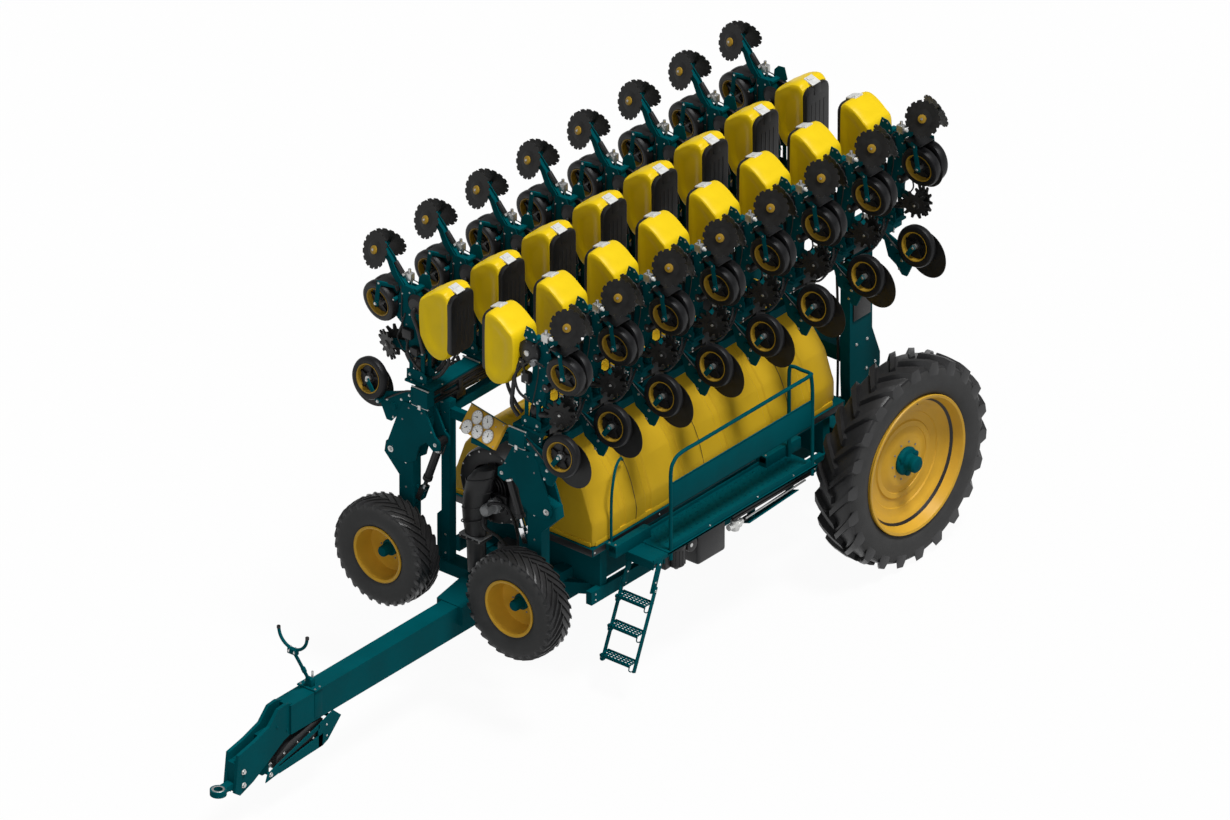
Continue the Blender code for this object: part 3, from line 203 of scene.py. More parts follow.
# ---------------------------------------------------------------- shapes, collected by material
class Kit:
    """Meshes under construction, one for each material."""

    def __init__(self):
        self.sets = {}

    def many(self, shape, name, *sizes):
        """Several pieces of one shape and material, each with its own sizes."""
        for size in sizes:
            getattr(self, shape)(name, *size)

    def grow(self, name, made, matrix=None, bevel=0.0, segments=2, angle=0.5):
        """Adds a finished small bmesh, bevelled along its sharp edges."""
        if bevel:
            sharp = [e for e in made.edges if len(e.link_faces) == 2 and e.calc_face_angle(0) > angle]
            bmesh.ops.bevel(made, geom=sharp, offset=bevel, segments=segments, profile=0.6, affect="EDGES",
                            clamp_overlap=True)
        if matrix is not None:
            made.transform(matrix)
        passing = bpy.data.meshes.new("passing")
        made.to_mesh(passing)
        made.free()
        self.sets.setdefault(name, bmesh.new()).from_mesh(passing)
        bpy.data.meshes.remove(passing)

    def box(self, name, x, y, z, bevel=0.004, segments=2):
        """A block between two places on each axis."""
        size = Vector((abs(x[1] - x[0]), abs(y[1] - y[0]), abs(z[1] - z[0])))
        middle = Vector((x[0] + x[1], y[0] + y[1], z[0] + z[1])) / 2
        self.grow(name, cube(size), Matrix.Translation(middle), min(bevel, min(size) * 0.45), segments)

    def bar(self, name, start, end, width, height, side=(0, 1, 0), bevel=0.003):
        """A flat bar between two points; its width lies towards the side."""
        start, end = Vector(start), Vector(end)
        along = (end - start).normalized()
        across = Vector(side)
        across = (across - across.dot(along) * along).normalized()
        turn = Matrix((along, across, along.cross(across))).transposed().to_4x4()
        made = cube(((end - start).length, width, height))
        self.grow(name, made, Matrix.Translation((start + end) / 2) @ turn,
                  min(bevel, min(width, height) * 0.45))

    def rod(self, name, start, end, radius, sides=14, bevel=0.0):
        """A round bar between two points."""
        start, end = Vector(start), Vector(end)
        made = bmesh.new()
        bmesh.ops.create_cone(made, cap_ends=True, segments=sides, radius1=radius, radius2=radius,
                              depth=(end - start).length)
        self.grow(name, made, Matrix.Translation((start + end) / 2) @ turn_to(end - start).to_4x4(), bevel,
                  angle=0.9)

    def push(self, name, loop, move, matrix=None, bevel=0.0):
        """A flat outline pushed out along a vector."""
        made = bmesh.new()
        face = made.faces.new([made.verts.new(point) for point in loop])
        grown = bmesh.ops.extrude_face_region(made, geom=[face])["geom"]
        bmesh.ops.translate(made, verts=[g for g in grown if isinstance(g, bmesh.types.BMVert)], vec=move)
        bmesh.ops.recalc_face_normals(made, faces=made.faces)
        self.grow(name, made, matrix, bevel, 1)

    def plate(self, name, outline, axis, span, bevel=0.003):
        """An outline in the order of the other two axes, pushed out along an axis."""
        across = "XYZ".index(axis)
        loop = [(*point[:across], span[0], *point[across:]) for point in outline]
        move = [0.0, 0.0, 0.0]
        move[across] = span[1] - span[0]
        self.push(name, loop, move, None, min(bevel, abs(span[1] - span[0]) * 0.45))

    def toothed(self, name, centre, axis, inner, outer, thickness, teeth, share=0.55, rake=0.0):
        """A thin disc whose edge is cut into teeth; share is the tooth's part of each step."""
        step = 2 * math.pi / teeth
        gap = (1 - share) / 2
        loop = []
        for tooth in range(teeth):
            start = 2 * math.pi * tooth / teeth
            for part, radius in ((0.0, inner), (gap, inner), (gap + 0.06 + rake, outer),
                                 (0.94 - gap + rake, outer)):
                angle = start + step * part
                loop.append((radius * math.cos(angle), radius * math.sin(angle), -thickness / 2))
        self.push(name, loop, (0, 0, thickness),
                  Matrix.Translation(Vector(centre)) @ turn_to(axis).to_4x4())

    def lathe(self, name, profile, centre, axis=(1, 0, 0), sides=32):
        """(radius, distance along the axis) turned about an axis; ends at radius 0 close it."""
        turn, centre = turn_to(axis), Vector(centre)
        made = bmesh.new()
        rings = [[made.verts.new(centre + turn @ Vector((radius * c, radius * s, along)))
                  for c, s in (circle(sides) if radius > 1e-6 else circle(1))] for radius, along in profile]
        for here, there in zip(rings, rings[1:]):
            for step in range(sides):
                after = (step + 1) % sides
                corners = [here[step % len(here)], here[after % len(here)], there[after % len(there)],
                           there[step % len(there)]]
                corners = list(dict.fromkeys(corners))
                if len(corners) > 2:
                    made.faces.new(corners)
        bmesh.ops.recalc_face_normals(made, faces=made.faces)
        self.grow(name, made)

    def loft(self, name, rings, matrix=None, ring_closed=True, path_closed=False):
        """A skin over rings of points, capped at both ends unless the path runs round to its start."""
        made = bmesh.new()
        rings = [[made.verts.new(point) for point in ring] for ring in rings]
        skin(made, rings + (rings[:1] if path_closed else []), ring_closed)
        if not path_closed:
            made.faces.new(rings[0])
            made.faces.new(rings[-1])
        bmesh.ops.recalc_face_normals(made, faces=made.faces)
        self.grow(name, made, matrix)

    def tube(self, name, points, radius, sides=8, steps=6, closed=False):
        """A round hose or rail along a smooth curve through the points."""
        points = [Vector(p) for p in points]
        count = len(points)
        path = []
        for k in range(count if closed else count - 1):
            a = points[k - 1] if (k or closed) else points[0] * 2 - points[1]
            b, c = points[k], points[(k + 1) % count]
            d = points[(k + 2) % count] if (k + 2 < count or closed) else c * 2 - b
            path += [curve_point(a, b, c, d, step / steps) for step in range(steps)]
        if not closed:
            path.append(points[-1])
        rings = []
        side = None
        total = len(path)
        for k, point in enumerate(path):
            ahead = path[(k + 1) % total] if (closed or k + 1 < total) else point * 2 - path[k - 1]
            behind = path[k - 1] if (closed or k) else point * 2 - path[1]
            along = (ahead - behind).normalized()
            if side is None:
                side = along.orthogonal().normalized()
            side = (side - side.dot(along) * along).normalized()
            other = along.cross(side)
            rings.append([point + radius * (c * side + s * other) for c, s in circle(sides)])
        self.loft(name, rings, path_closed=closed)

    def bolt(self, place, way, size=0.012, name="zinc"):
        """A washer and a hexagon head, standing out of a face."""
        place, way = Vector(place), Vector(way).normalized()
        self.rod(name, place, place + way * size * 0.2, size * 1.15, 10)
        self.rod(name, place + way * size * 0.15, place + way * size * 0.8, size * 0.82, 6)

    def meshes(self, label):
        """One finished mesh for each material."""
        done = {}
        for name, made in self.sets.items():
            mesh = bpy.data.meshes.new(f"{label}_{name}")
            made.to_mesh(mesh)
            made.free()
            mesh.materials.append(PAINTS[name][0])
            mesh.shade_smooth()
            mesh.set_sharp_from_angle(angle=math.radians(32))
            done[name] = mesh
        return done


DATUM = Matrix.Translation((0, DY, 0))


def show(meshes, label, body, stands_for=(), matrix=DATUM):
    """Places the meshes as pieces that ride a body and stand for CAD nodes."""
    for name, mesh in sorted(meshes.items()):
        piece = bpy.data.objects.new(f"{label}_{name}", mesh)
        bpy.context.scene.collection.objects.link(piece)
        piece.matrix_world = matrix
        bpy.context.view_layer.update()
        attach(piece, body)
        if stands_for:
            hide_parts(*stands_for)


def show_kit(kit, label, body, *stands_for):
    """Finishes a kit and places it, with the CAD nodes that it stands for."""
    show(kit.meshes(label), label, body, stands_for)


# ---------------------------------------------------------------- wheels
def tyre(kit, centre, axis, inner, outer, width, sides):
    """A carcass with rounded shoulders and sidewalls; outer is the tread's base."""
    wall = outer - inner
    walls = both_ways([(inner, -0.36 * width), (inner + 0.05 * wall, -0.42 * width),
                       (inner + 0.2 * wall, -0.475 * width), (inner + 0.42 * wall, -width / 2),
                       (inner + 0.66 * wall, -0.495 * width), (inner + 0.84 * wall, -0.465 * width),
                       (outer - 0.015, -0.42 * width), (outer, -0.36 * width), (outer + 0.004, 0.0)])
    kit.lathe("tyre", walls + walls[:1], centre, axis, sides)
    crown = both_ways([(outer - 0.03, -0.445 * width), (outer - 0.012, -0.425 * width),
                       (outer + 0.003, -0.362 * width), (outer + 0.0065, 0.0)])
    kit.lathe("tread", crown, centre, axis, sides)


def lugs(kit, centre, axis, base, outer, width, count, thickness, sweep):
    """Angled bars from the middle of the tread out over each shoulder, on alternate sides."""
    matrix = Matrix.Translation(Vector(centre)) @ turn_to(axis).to_4x4()
    half = width / 2
    # share of the half width, radius of the top, and breadth against the lug's thickness
    shape = ((0.0, outer, 0.85), (0.3, outer, 0.9), (0.72, outer - 0.006, 1.0), (0.96, outer - 0.022, 1.25),
             (1.0, base - 0.075, 1.25))
    for hand in (-1, 1):
        for k in range(count):
            start = 2 * math.pi * (k + (0.5 if hand > 0 else 0.0)) / count
            rings = []
            for share, top, wide in shape:
                along = hand * (share * half - 0.06 * half)
                spread = thickness * wide / (2 * outer)
                low = min(base, top) - 0.03
                ring = []
                for offset, radius in ((-1.35, low), (-0.8, top), (0.8, top), (1.35, low)):
                    around = start + sweep * share + offset * spread
                    ring.append((radius * math.cos(around), radius * math.sin(around), along))
                rings.append(ring)
            kit.loft("tread", rings, matrix, ring_closed=False)


def ring_of_bolts(kit, centre, axis, radius, count, size, name="zinc"):
    """Bolts at even steps round a centre, standing along the axis."""
    turn = turn_to(axis)
    for c, s in circle(count):
        kit.bolt(Vector(centre) + turn @ Vector((radius * c, radius * s, 0)), axis, size, name)


def road_wheel(side):
    """The big rear wheel: lugged tyre and a stepped, dished disc on a teal hub."""
    hand = SIDES[side]
    centre, out = Vector((hand * ROAD_X, 0, ROAD_Z)), Vector((hand, 0, 0))
    kit = Kit()
    tyre(kit, centre, out, 0.712, 1.018, 0.44, 84)
    lugs(kit, centre, out, 1.014, 1.0795, 0.458, 22, 0.098, -0.26)
    show_kit(kit, f"{side}_road_tyre_looks", f"{side}_road_wheel", f"{side}_road_tyre")
    kit = Kit()
    profile = [(0.705, -0.225), (0.712, 0.19), (0.722, 0.205), (0.715, 0.217), (0.69, 0.212), (0.675, 0.19),
               (0.655, 0.12), (0.635, 0.095), (0.6, 0.085), (0.585, 0.07), (0.545, 0.05), (0.5, 0.045),
               (0.49, 0.032), (0.44, 0.022), (0.3, 0.03), (0.275, 0.045), (0.235, 0.05), (0.0, 0.05)]
    kit.lathe("yellow", profile, centre, out, 80)
    back = [(0.0, 0.02), (0.25, 0.02), (0.45, -0.01), (0.6, 0.04), (0.64, 0.07), (0.672, -0.12),
            (0.69, -0.21), (0.705, -0.225)]
    kit.lathe("yellow", back, centre, out, 80)
    # painted shade: a thin black ring laid in the concave step of the dish, where shade falls
    kit.lathe("black", [(0.626, 0.089), (0.6275, 0.0925), (0.637, 0.101), (0.646, 0.1125), (0.65, 0.1165)],
              centre, out, 80)
    kit.lathe("yellow", [(0.335, 0.02), (0.345, 0.034), (0.395, 0.036), (0.415, 0.018)], centre, out, 72)
    hub = [(0.14, 0.045), (0.146, 0.072), (0.13, 0.094), (0.088, 0.104), (0.08, 0.15), (0.084, 0.158),
           (0.084, 0.198), (0.068, 0.214), (0.03, 0.221), (0.0, 0.222)]
    kit.lathe("teal", hub, centre, out, 40)
    for angle in (0.4, 2.5, 4.6):
        way = Vector((0, math.cos(angle), math.sin(angle)))
        kit.rod("teal", centre + out * 0.05 + way * 0.108, centre + out * 0.11 + way * 0.108, 0.04, 16,
                0.006)
    ring_of_bolts(kit, centre + out * 0.0505, out, 0.19, 10, 0.01, "grey")
    kit.rod("teal", centre - out * 0.16, centre + out * 0.04, 0.13, 28, 0.01)
    kit.rod("black", centre + out * 0.11 + Vector((0, 0.05, 0.655)),
            centre + out * 0.165 + Vector((0, 0.05, 0.635)), 0.006, 8)
    show_kit(kit, f"{side}_road_rim_looks", f"{side}_road_wheel", f"{side}_road_rim")


def wing_wheel(side):
    """The wing's transport wheel: deep-dished rim facing the front."""
    hand = SIDES[side]
    centre, out = Vector((hand * WING_X, WING_Y, WING_Z)), Vector((0, -1, 0))
    kit = Kit()
    tyre(kit, centre, out, 0.286, 0.53, 0.335, 64)
    lugs(kit, centre, out, 0.526, 0.5547, 0.342, 30, 0.033, -0.5 * hand)
    show_kit(kit, f"{side}_wing_tyre_looks", f"{side}_wing_wheel", f"{side}_wing_tyre")
    kit = Kit()
    dish = [(0.283, -0.15), (0.288, 0.14), (0.296, 0.15), (0.285, 0.156), (0.266, 0.148), (0.258, 0.1),
            (0.25, -0.01), (0.238, -0.045), (0.19, -0.06), (0.13, -0.052), (0.0, -0.052)]
    kit.lathe("yellow", dish, centre, out, 56)
    kit.lathe("yellow", [(0.0, -0.075), (0.2, -0.085), (0.245, -0.07), (0.262, -0.12), (0.283, -0.15)],
              centre, out, 48)
    hub = [(0.082, -0.053), (0.082, -0.03), (0.058, -0.022), (0.055, 0.068), (0.047, 0.082), (0.02, 0.088),
           (0.0, 0.088)]
    kit.lathe("teal", hub, centre, out, 32)
    ring_of_bolts(kit, centre - out * 0.052, out, 0.115, 6, 0.009, "grey")
    kit.rod("teal", centre - out * 0.17, centre, 0.06, 24, 0.006)
    show_kit(kit, f"{side}_wing_rim_looks", f"{side}_wing_wheel", f"{side}_wing_rim")


def small_wheel(kit, centre, axis, radius, width):
    """A gauge wheel: rounded rubber tyre on a narrow spoked yellow rim; the axis points to its outer side."""
    centre, axis = Vector(centre), Vector(axis).normalized()
    half = width / 2
    walls = both_ways([(0.66 * radius, -0.8 * half), (0.74 * radius, -0.96 * half), (0.86 * radius, -half),
                       (0.955 * radius, -0.86 * half), (radius, -0.45 * half)])
    kit.lathe("small_tyre", walls + walls[:1], centre, axis, 36)
    rim = [(0.665 * radius, 0.8 * half), (0.7 * radius, 0.985 * half), (0.668 * radius, 0.985 * half),
           (0.64 * radius, 0.86 * half), (0.615 * radius, 0.1 * half), (0.6 * radius, -0.1 * half)]
    # the rim's darker yellow is painted shade
    kit.lathe("ochre", rim, centre, axis, 36)
    kit.lathe("black", [(0.605 * radius, -0.08 * half), (0.3 * radius, -0.15 * half),
                        (0.26 * radius, 0.3 * half), (0.0, 0.3 * half)], centre, axis, 28)
    turn = turn_to(axis)
    for c, s in circle(5, 0.3):
        way = turn @ Vector((c, s, 0))
        start = centre + way * 0.2 * radius + axis * 0.25 * half
        kit.bar("small_tyre", start, centre + way * 0.615 * radius + axis * 0.12 * half, 0.12 * radius,
                0.016, axis.cross(way))
    kit.rod("zinc", centre + axis * 0.3 * half, centre + axis * 1.06 * half, 0.13 * radius, 16, 0.002)


# ---------------------------------------------------------------- one row unit, from the toolbar's centre
# places are (o, a, q): out from the machine, along it, and up
def row_mount(kit):
    """The clamp on the toolbar, the parallel arms and the down-pressure bag."""
    foot = HEAD_TOP + 0.0005
    kit.box("teal", (0.0, 0.235), (-0.068, 0.068), (foot, foot + 0.03), 0.004)
    for a in (-0.062, 0.062):
        kit.plate("teal", [(-0.01, foot + 0.01), (0.235, foot + 0.01), (0.235, 0.215), (0.17, 0.235),
                           (0.03, 0.235), (-0.01, 0.2)], "Y", about(a, 0.005))
        for o, low, high in ((0.045, 0.175, 0.435), (0.19, 0.165, 0.415)):
            kit.bar("teal", (o, a * 0.8, low), (o, a * 0.8, high), 0.014, 0.042, (0, 1, 0), 0.004)
            for q in (low, high):
                kit.rod("teal", (o, a * 0.66, q), (o, a * 0.95, q), 0.03, 16, 0.002)
                kit.bolt((o, a * 1.1 if q == low else a * 0.97, q), (0, a, 0), 0.013)
    kit.rod("black", (0.118, 0, 0.19), (0.118, 0, 0.245), 0.04, 18, 0.006)
    kit.lathe("black", [(0.0, 0.0), (0.04, 0.0), (0.052, 0.03), (0.052, 0.075), (0.038, 0.1), (0.0, 0.1)],
              (0.118, 0, 0.245), (0, 0, 1), 20)
    kit.rod("zinc", (0.118, 0, 0.34), (0.118, 0, 0.42), 0.01, 10)


def row_frame(kit):
    """Two bolted side plates on a core."""
    frame_line = [(0.03, 0.385), (0.03, 0.62), (0.115, 0.7), (0.115, 1.0), (0.17, 1.1), (0.28, 1.1),
                  (0.33, 1.03), (0.36, 0.92), (0.4, 0.86), (0.4, 0.74), (0.3, 0.66), (0.25, 0.45),
                  (0.16, 0.36)]
    for a in (-0.043, 0.043):
        kit.plate("teal", frame_line, "Y", about(a, 0.004))
        for o, q in ((0.07, 0.43), (0.07, 0.57), (0.2, 0.42), (0.22, 0.55), (0.25, 0.68), (0.21, 0.8),
                     (0.21, 0.92), (0.21, 1.04), (0.3, 1.0), (0.33, 0.88), (0.36, 0.8), (0.29, 0.74)):
            kit.bolt((o, a * 1.09, q), (0, a, 0), 0.0075, "grey" if (o + q) % 0.2 > 0.12 else "zinc")
    kit.box("teal", (0.13, 0.27), (-0.036, 0.036), (0.38, 1.08), 0.006)
    kit.box("teal", (0.25, 0.37), (-0.03, 0.03), (0.72, 0.92), 0.006)


def seed_meter(kit):
    """The round seed meter, its cover and its drive."""
    meter_x, meter_y, meter_z, way = 0.105, -0.05, 0.955, -1
    kit.lathe("black", [(0.0, 0.0), (0.118, 0.0), (0.125, 0.012), (0.122, 0.045), (0.095, 0.06),
                        (0.05, 0.064), (0.0, 0.064)], (meter_x, meter_y, meter_z), (0, way, 0), 36)
    kit.lathe("zinc", [(0.03, 0.06), (0.03, 0.078), (0.012, 0.084), (0.0, 0.084)],
              (meter_x, meter_y, meter_z), (0, way, 0), 20)
    kit.rod("grey", (0.19, meter_y + way * 0.045, 0.88), (0.19, meter_y + way * 0.095, 0.88), 0.034, 18,
            0.004)
    for c, s in circle(8, 0.2):
        kit.bolt((meter_x + 0.108 * c, meter_y + way * 0.046, meter_z + 0.108 * s), (0, way, 0), 0.0065)
    kit.lathe("black", [(0.0, 0.0), (0.095, 0.0), (0.105, 0.02), (0.07, 0.05), (0.0, 0.052)],
              (0.11, 0.048, 0.955), (0, 1, 0), 30)
    kit.tube("black", [(0.11, 0.08, 0.93), (0.1, 0.13, 0.88), (0.02, 0.14, 0.72), (-0.03, 0.13, 0.5)],
             0.022, 10)


def valve_block(kit):
    """The link plate, valve block and gauge at the frame's head, with their hoses."""
    kit.plate("teal", [(0.035, 1.105), (0.075, 1.06), (0.21, 1.08), (0.2, 1.16), (0.15, 1.215),
                       (0.07, 1.225)], "Y", (-0.085, -0.077))
    kit.box("teal", (0.12, 0.18), (-0.08, 0.04), (1.07, 1.1), 0.004)
    for o, q in ((0.075, 1.1), (0.17, 1.11), (0.09, 1.19), (0.145, 1.185)):
        kit.bolt((o, -0.085, q), (0, -1, 0), 0.009)
    kit.box("zinc", (0.245, 0.325), (-0.075, -0.015), (1.115, 1.195), 0.006)
    kit.rod("zinc", (0.285, -0.045, 1.19), (0.285, -0.045, 1.235), 0.015, 14, 0.002)
    kit.rod("white", (0.335, -0.045, 1.16), (0.365, -0.045, 1.165), 0.02, 18, 0.003)
    kit.rod("zinc", (0.26, -0.045, 1.12), (0.26, -0.045, 1.08), 0.012, 12)
    kit.tube("hose", [(0.3, -0.02, 1.12), (0.33, 0.03, 1.07), (0.3, 0.055, 0.95), (0.3, 0.06, 0.75),
                      (0.24, 0.062, 0.5), (0.13, 0.06, 0.3)], 0.007, 6)
    kit.tube("hose", [(0.25, -0.05, 1.13), (0.2, -0.1, 1.05), (0.215, -0.075, 0.8), (0.16, -0.07, 0.5),
                      (0.11, -0.075, 0.3)], 0.006, 6)


def seed_discs(kit):
    """Two seed discs and the depth quadrant."""
    for a in (-1, 1):
        axis = Vector((a * 0.05, 1, a * 0.05)).normalized()
        kit.lathe("disc", [(0.0, a * 0.01), (0.1, a * 0.009), (0.188, a * 0.0015), (0.188, -a * 0.0015),
                           (0.0, -a * 0.002)], (0.575, a * 0.004, 0.8), axis, 40)
    kit.plate("teal", [(0.3, 0.78), (0.42, 0.73), (0.58, 0.77), (0.6, 0.82), (0.56, 0.86), (0.4, 0.9),
                       (0.32, 0.9)], "Y", (-0.016, 0.016))


def gauge_wheels(kit):
    """The gauge wheels, toed in at the front and foot, with their arms."""
    tilt = math.radians(8)
    for a in (-1, 1):
        axis = Vector((math.sin(tilt) * 0.7, -1 if a < 0 else 1, -math.sin(tilt) * 0.7)).normalized()
        centre = Vector((0.551, a * 0.066, 0.847))
        small_wheel(kit, centre, axis, 0.21, 0.1)
        face = centre + axis * 0.06
        bend = Vector((0.52, a * 0.13, 1.075))
        kit.bar("teal", face + Vector((0.004, 0, -0.03)), bend + Vector((0, 0, 0.015)), 0.016, 0.05,
                (0, 1, 0), 0.006)
        kit.bar("teal", bend, Vector((0.36, a * 0.048, 1.055)), 0.02, 0.044, (0, 1, 0), 0.006)
        kit.bolt(bend + Vector((0, a * 0.008, 0)), (0, a, 0), 0.01)
        kit.rod("teal", (0.37, 0, 0.93), (0.37, a * 0.104, 0.93), 0.024, 16, 0.003)
        kit.rod("teal", face - axis * 0.004, face + axis * 0.018, 0.03, 18, 0.003)
        kit.bolt(face + axis * 0.018, axis, 0.014)
        kit.bolt((0.37, a * 0.104, 0.93), (0, a, 0), 0.013)
    kit.plate("teal", [(0.4, 0.94), (0.36, 1.04), (0.41, 1.09), (0.47, 1.05), (0.46, 0.97)], "Y",
              (-0.012, 0.012))
    kit.rod("zinc", (0.385, -0.03, 1.05), (0.385, 0.03, 1.05), 0.01, 10)


def row_boxes(kit):
    """The cover over the wheels, the control boxes and their short hoses."""
    kit.bar("black", (0.37, -0.005, 1.088), (0.57, -0.005, 1.074), 0.205, 0.012, (0, 1, 0), 0.003)
    kit.bar("black", (0.345, -0.005, 1.02), (0.372, -0.005, 1.09), 0.17, 0.012, (0, 1, 0), 0.003)
    # the latch's near-white colour is a painted highlight
    kit.bar("latch", (0.35, -0.06, 1.06), (0.372, -0.06, 1.098), 0.045, 0.006, (0, 1, 0), 0.001)
    kit.many("box", "black",
             ((0.035, 0.125), (-0.125, -0.06), (0.615, 0.735), 0.012),
             ((-0.02, 0.06), (-0.11, -0.04), (0.77, 0.86), 0.01),
             ((0.15, 0.26), (0.05, 0.105), (0.56, 0.66), 0.012),
             ((0.06, 0.15), (0.06, 0.12), (0.42, 0.5), 0.01))
    kit.rod("black", (0.28, -0.055, 0.6), (0.28, 0.055, 0.6), 0.045, 16, 0.008)
    kit.rod("black", (0.225, -0.06, 0.3), (0.315, -0.06, 0.33), 0.032, 14, 0.006)
    for o, a, q in ((0.1, -0.126, 0.64), (0.05, -0.126, 0.71), (0.02, -0.111, 0.83), (0.28, -0.056, 0.6),
                    (0.23, -0.075, 0.46), (0.16, -0.075, 0.4)):
        kit.bolt((o, a, q), (0, -1, 0), 0.0095)
    kit.many("tube", "hose",
             ([(0.08, -0.12, 0.735), (0.1, -0.15, 0.84), (0.2, -0.13, 0.9), (0.3, -0.09, 0.86)], 0.01, 8),
             ([(0.02, -0.1, 0.77), (-0.03, -0.13, 0.66), (0.02, -0.14, 0.52), (0.14, -0.12, 0.44)], 0.013,
              8),
             ([(0.2, 0.08, 0.56), (0.18, 0.12, 0.46), (0.1, 0.13, 0.36), (0.02, 0.11, 0.28)], 0.012, 8))


def closing_unit(kit):
    """The closing arm, press bar and notched discs."""
    for a in (-0.03, 0.03):
        kit.plate("teal", [(0.24, 1.03), (0.31, 1.0), (0.45, 1.16), (0.5, 1.28), (0.615, 1.385),
                           (0.6, 1.43), (0.555, 1.425), (0.44, 1.31), (0.37, 1.18)], "Y", about(a, 0.005))
    kit.bar("teal", (0.27, 0, 1.06), (0.565, 0, 1.385), 0.05, 0.036, (0, 1, 0), 0.006)
    kit.rod("black", (0.33, 0, 1.19), (0.42, 0, 1.29), 0.024, 14, 0.003)
    kit.rod("zinc", (0.315, 0, 1.17), (0.335, 0, 1.195), 0.014, 10)
    for a in (-1, 1):
        axis = Vector((0.28, a, 0.36)).normalized()
        centre = Vector((0.594, a * 0.102, 1.396))
        kit.toothed("disc", centre, axis, 0.167, 0.1855, 0.007, 15, 0.66, 0.02)
        kit.lathe("disc", [(0.0, 0.01), (0.075, 0.009), (0.1, 0.003), (0.158, 0.002)], centre, axis, 30)
        # the hub's darker yellow is painted shade
        kit.lathe("ochre", [(0.044, 0.006), (0.042, 0.022), (0.028, 0.028), (0.0, 0.029)], centre, axis, 22)
        kit.bolt(centre + axis * 0.027, axis, 0.011)
        ring_of_bolts(kit, centre + axis * 0.01, axis, 0.036, 4, 0.005)
        kit.rod("teal", centre - axis * 0.055, centre, 0.018, 14)
    kit.rod("teal", (0.588, -0.045, 1.408), (0.588, 0.045, 1.408), 0.026, 18, 0.003)


def row_cleaner(kit):
    """Two toothed wheels on a short arm."""
    kit.plate("teal", [(0.22, 0.4), (0.3, 0.36), (0.48, 0.36), (0.5, 0.4), (0.46, 0.43), (0.3, 0.46),
                       (0.24, 0.47)], "Y", (-0.014, 0.014))
    for a in (-1, 1):
        axis = Vector((0.35, a, -0.15)).normalized()
        centre = Vector((0.47, a * 0.065, 0.39))
        kit.toothed("disc", centre, axis, 0.108, 0.158, 0.016, 12, 0.4, 0.1)
        kit.lathe("disc", [(0.0, 0.02), (0.042, 0.018), (0.052, 0.006), (0.085, 0.005)], centre, axis, 24)
        kit.bolt(centre + axis * 0.018, axis, 0.012)
        kit.rod("teal", centre - axis * 0.045, centre, 0.016, 12)


def row_hoses(kit):
    """The seed tube, wiring and supply hose."""
    kit.many("tube", "hose",
             ([(0.02, -0.09, 0.86), (-0.03, -0.125, 0.7), (-0.06, -0.13, 0.48), (-0.08, -0.115, 0.32),
               (-0.02, -0.095, 0.215)], 0.021, 10),
             ([(-0.24, 0.02, 0.51), (-0.25, 0.02, 0.43), (-0.2, 0.02, 0.33), (-0.13, 0.02, 0.24),
               (-0.06, 0.02, 0.19)], 0.018, 10),
             ([(0.26, 0.055, 0.8), (0.31, 0.07, 0.62), (0.36, 0.05, 0.5), (0.3, 0.045, 0.4)], 0.008, 6))


def row_meshes():
    """The row unit's looks, from the toolbar's centre at the row."""
    kit = Kit()
    for part in (row_mount, row_frame, seed_meter, valve_block, seed_discs, gauge_wheels, row_boxes,
                 closing_unit, row_cleaner, row_hoses):
        part(kit)
    return kit.meshes("row")


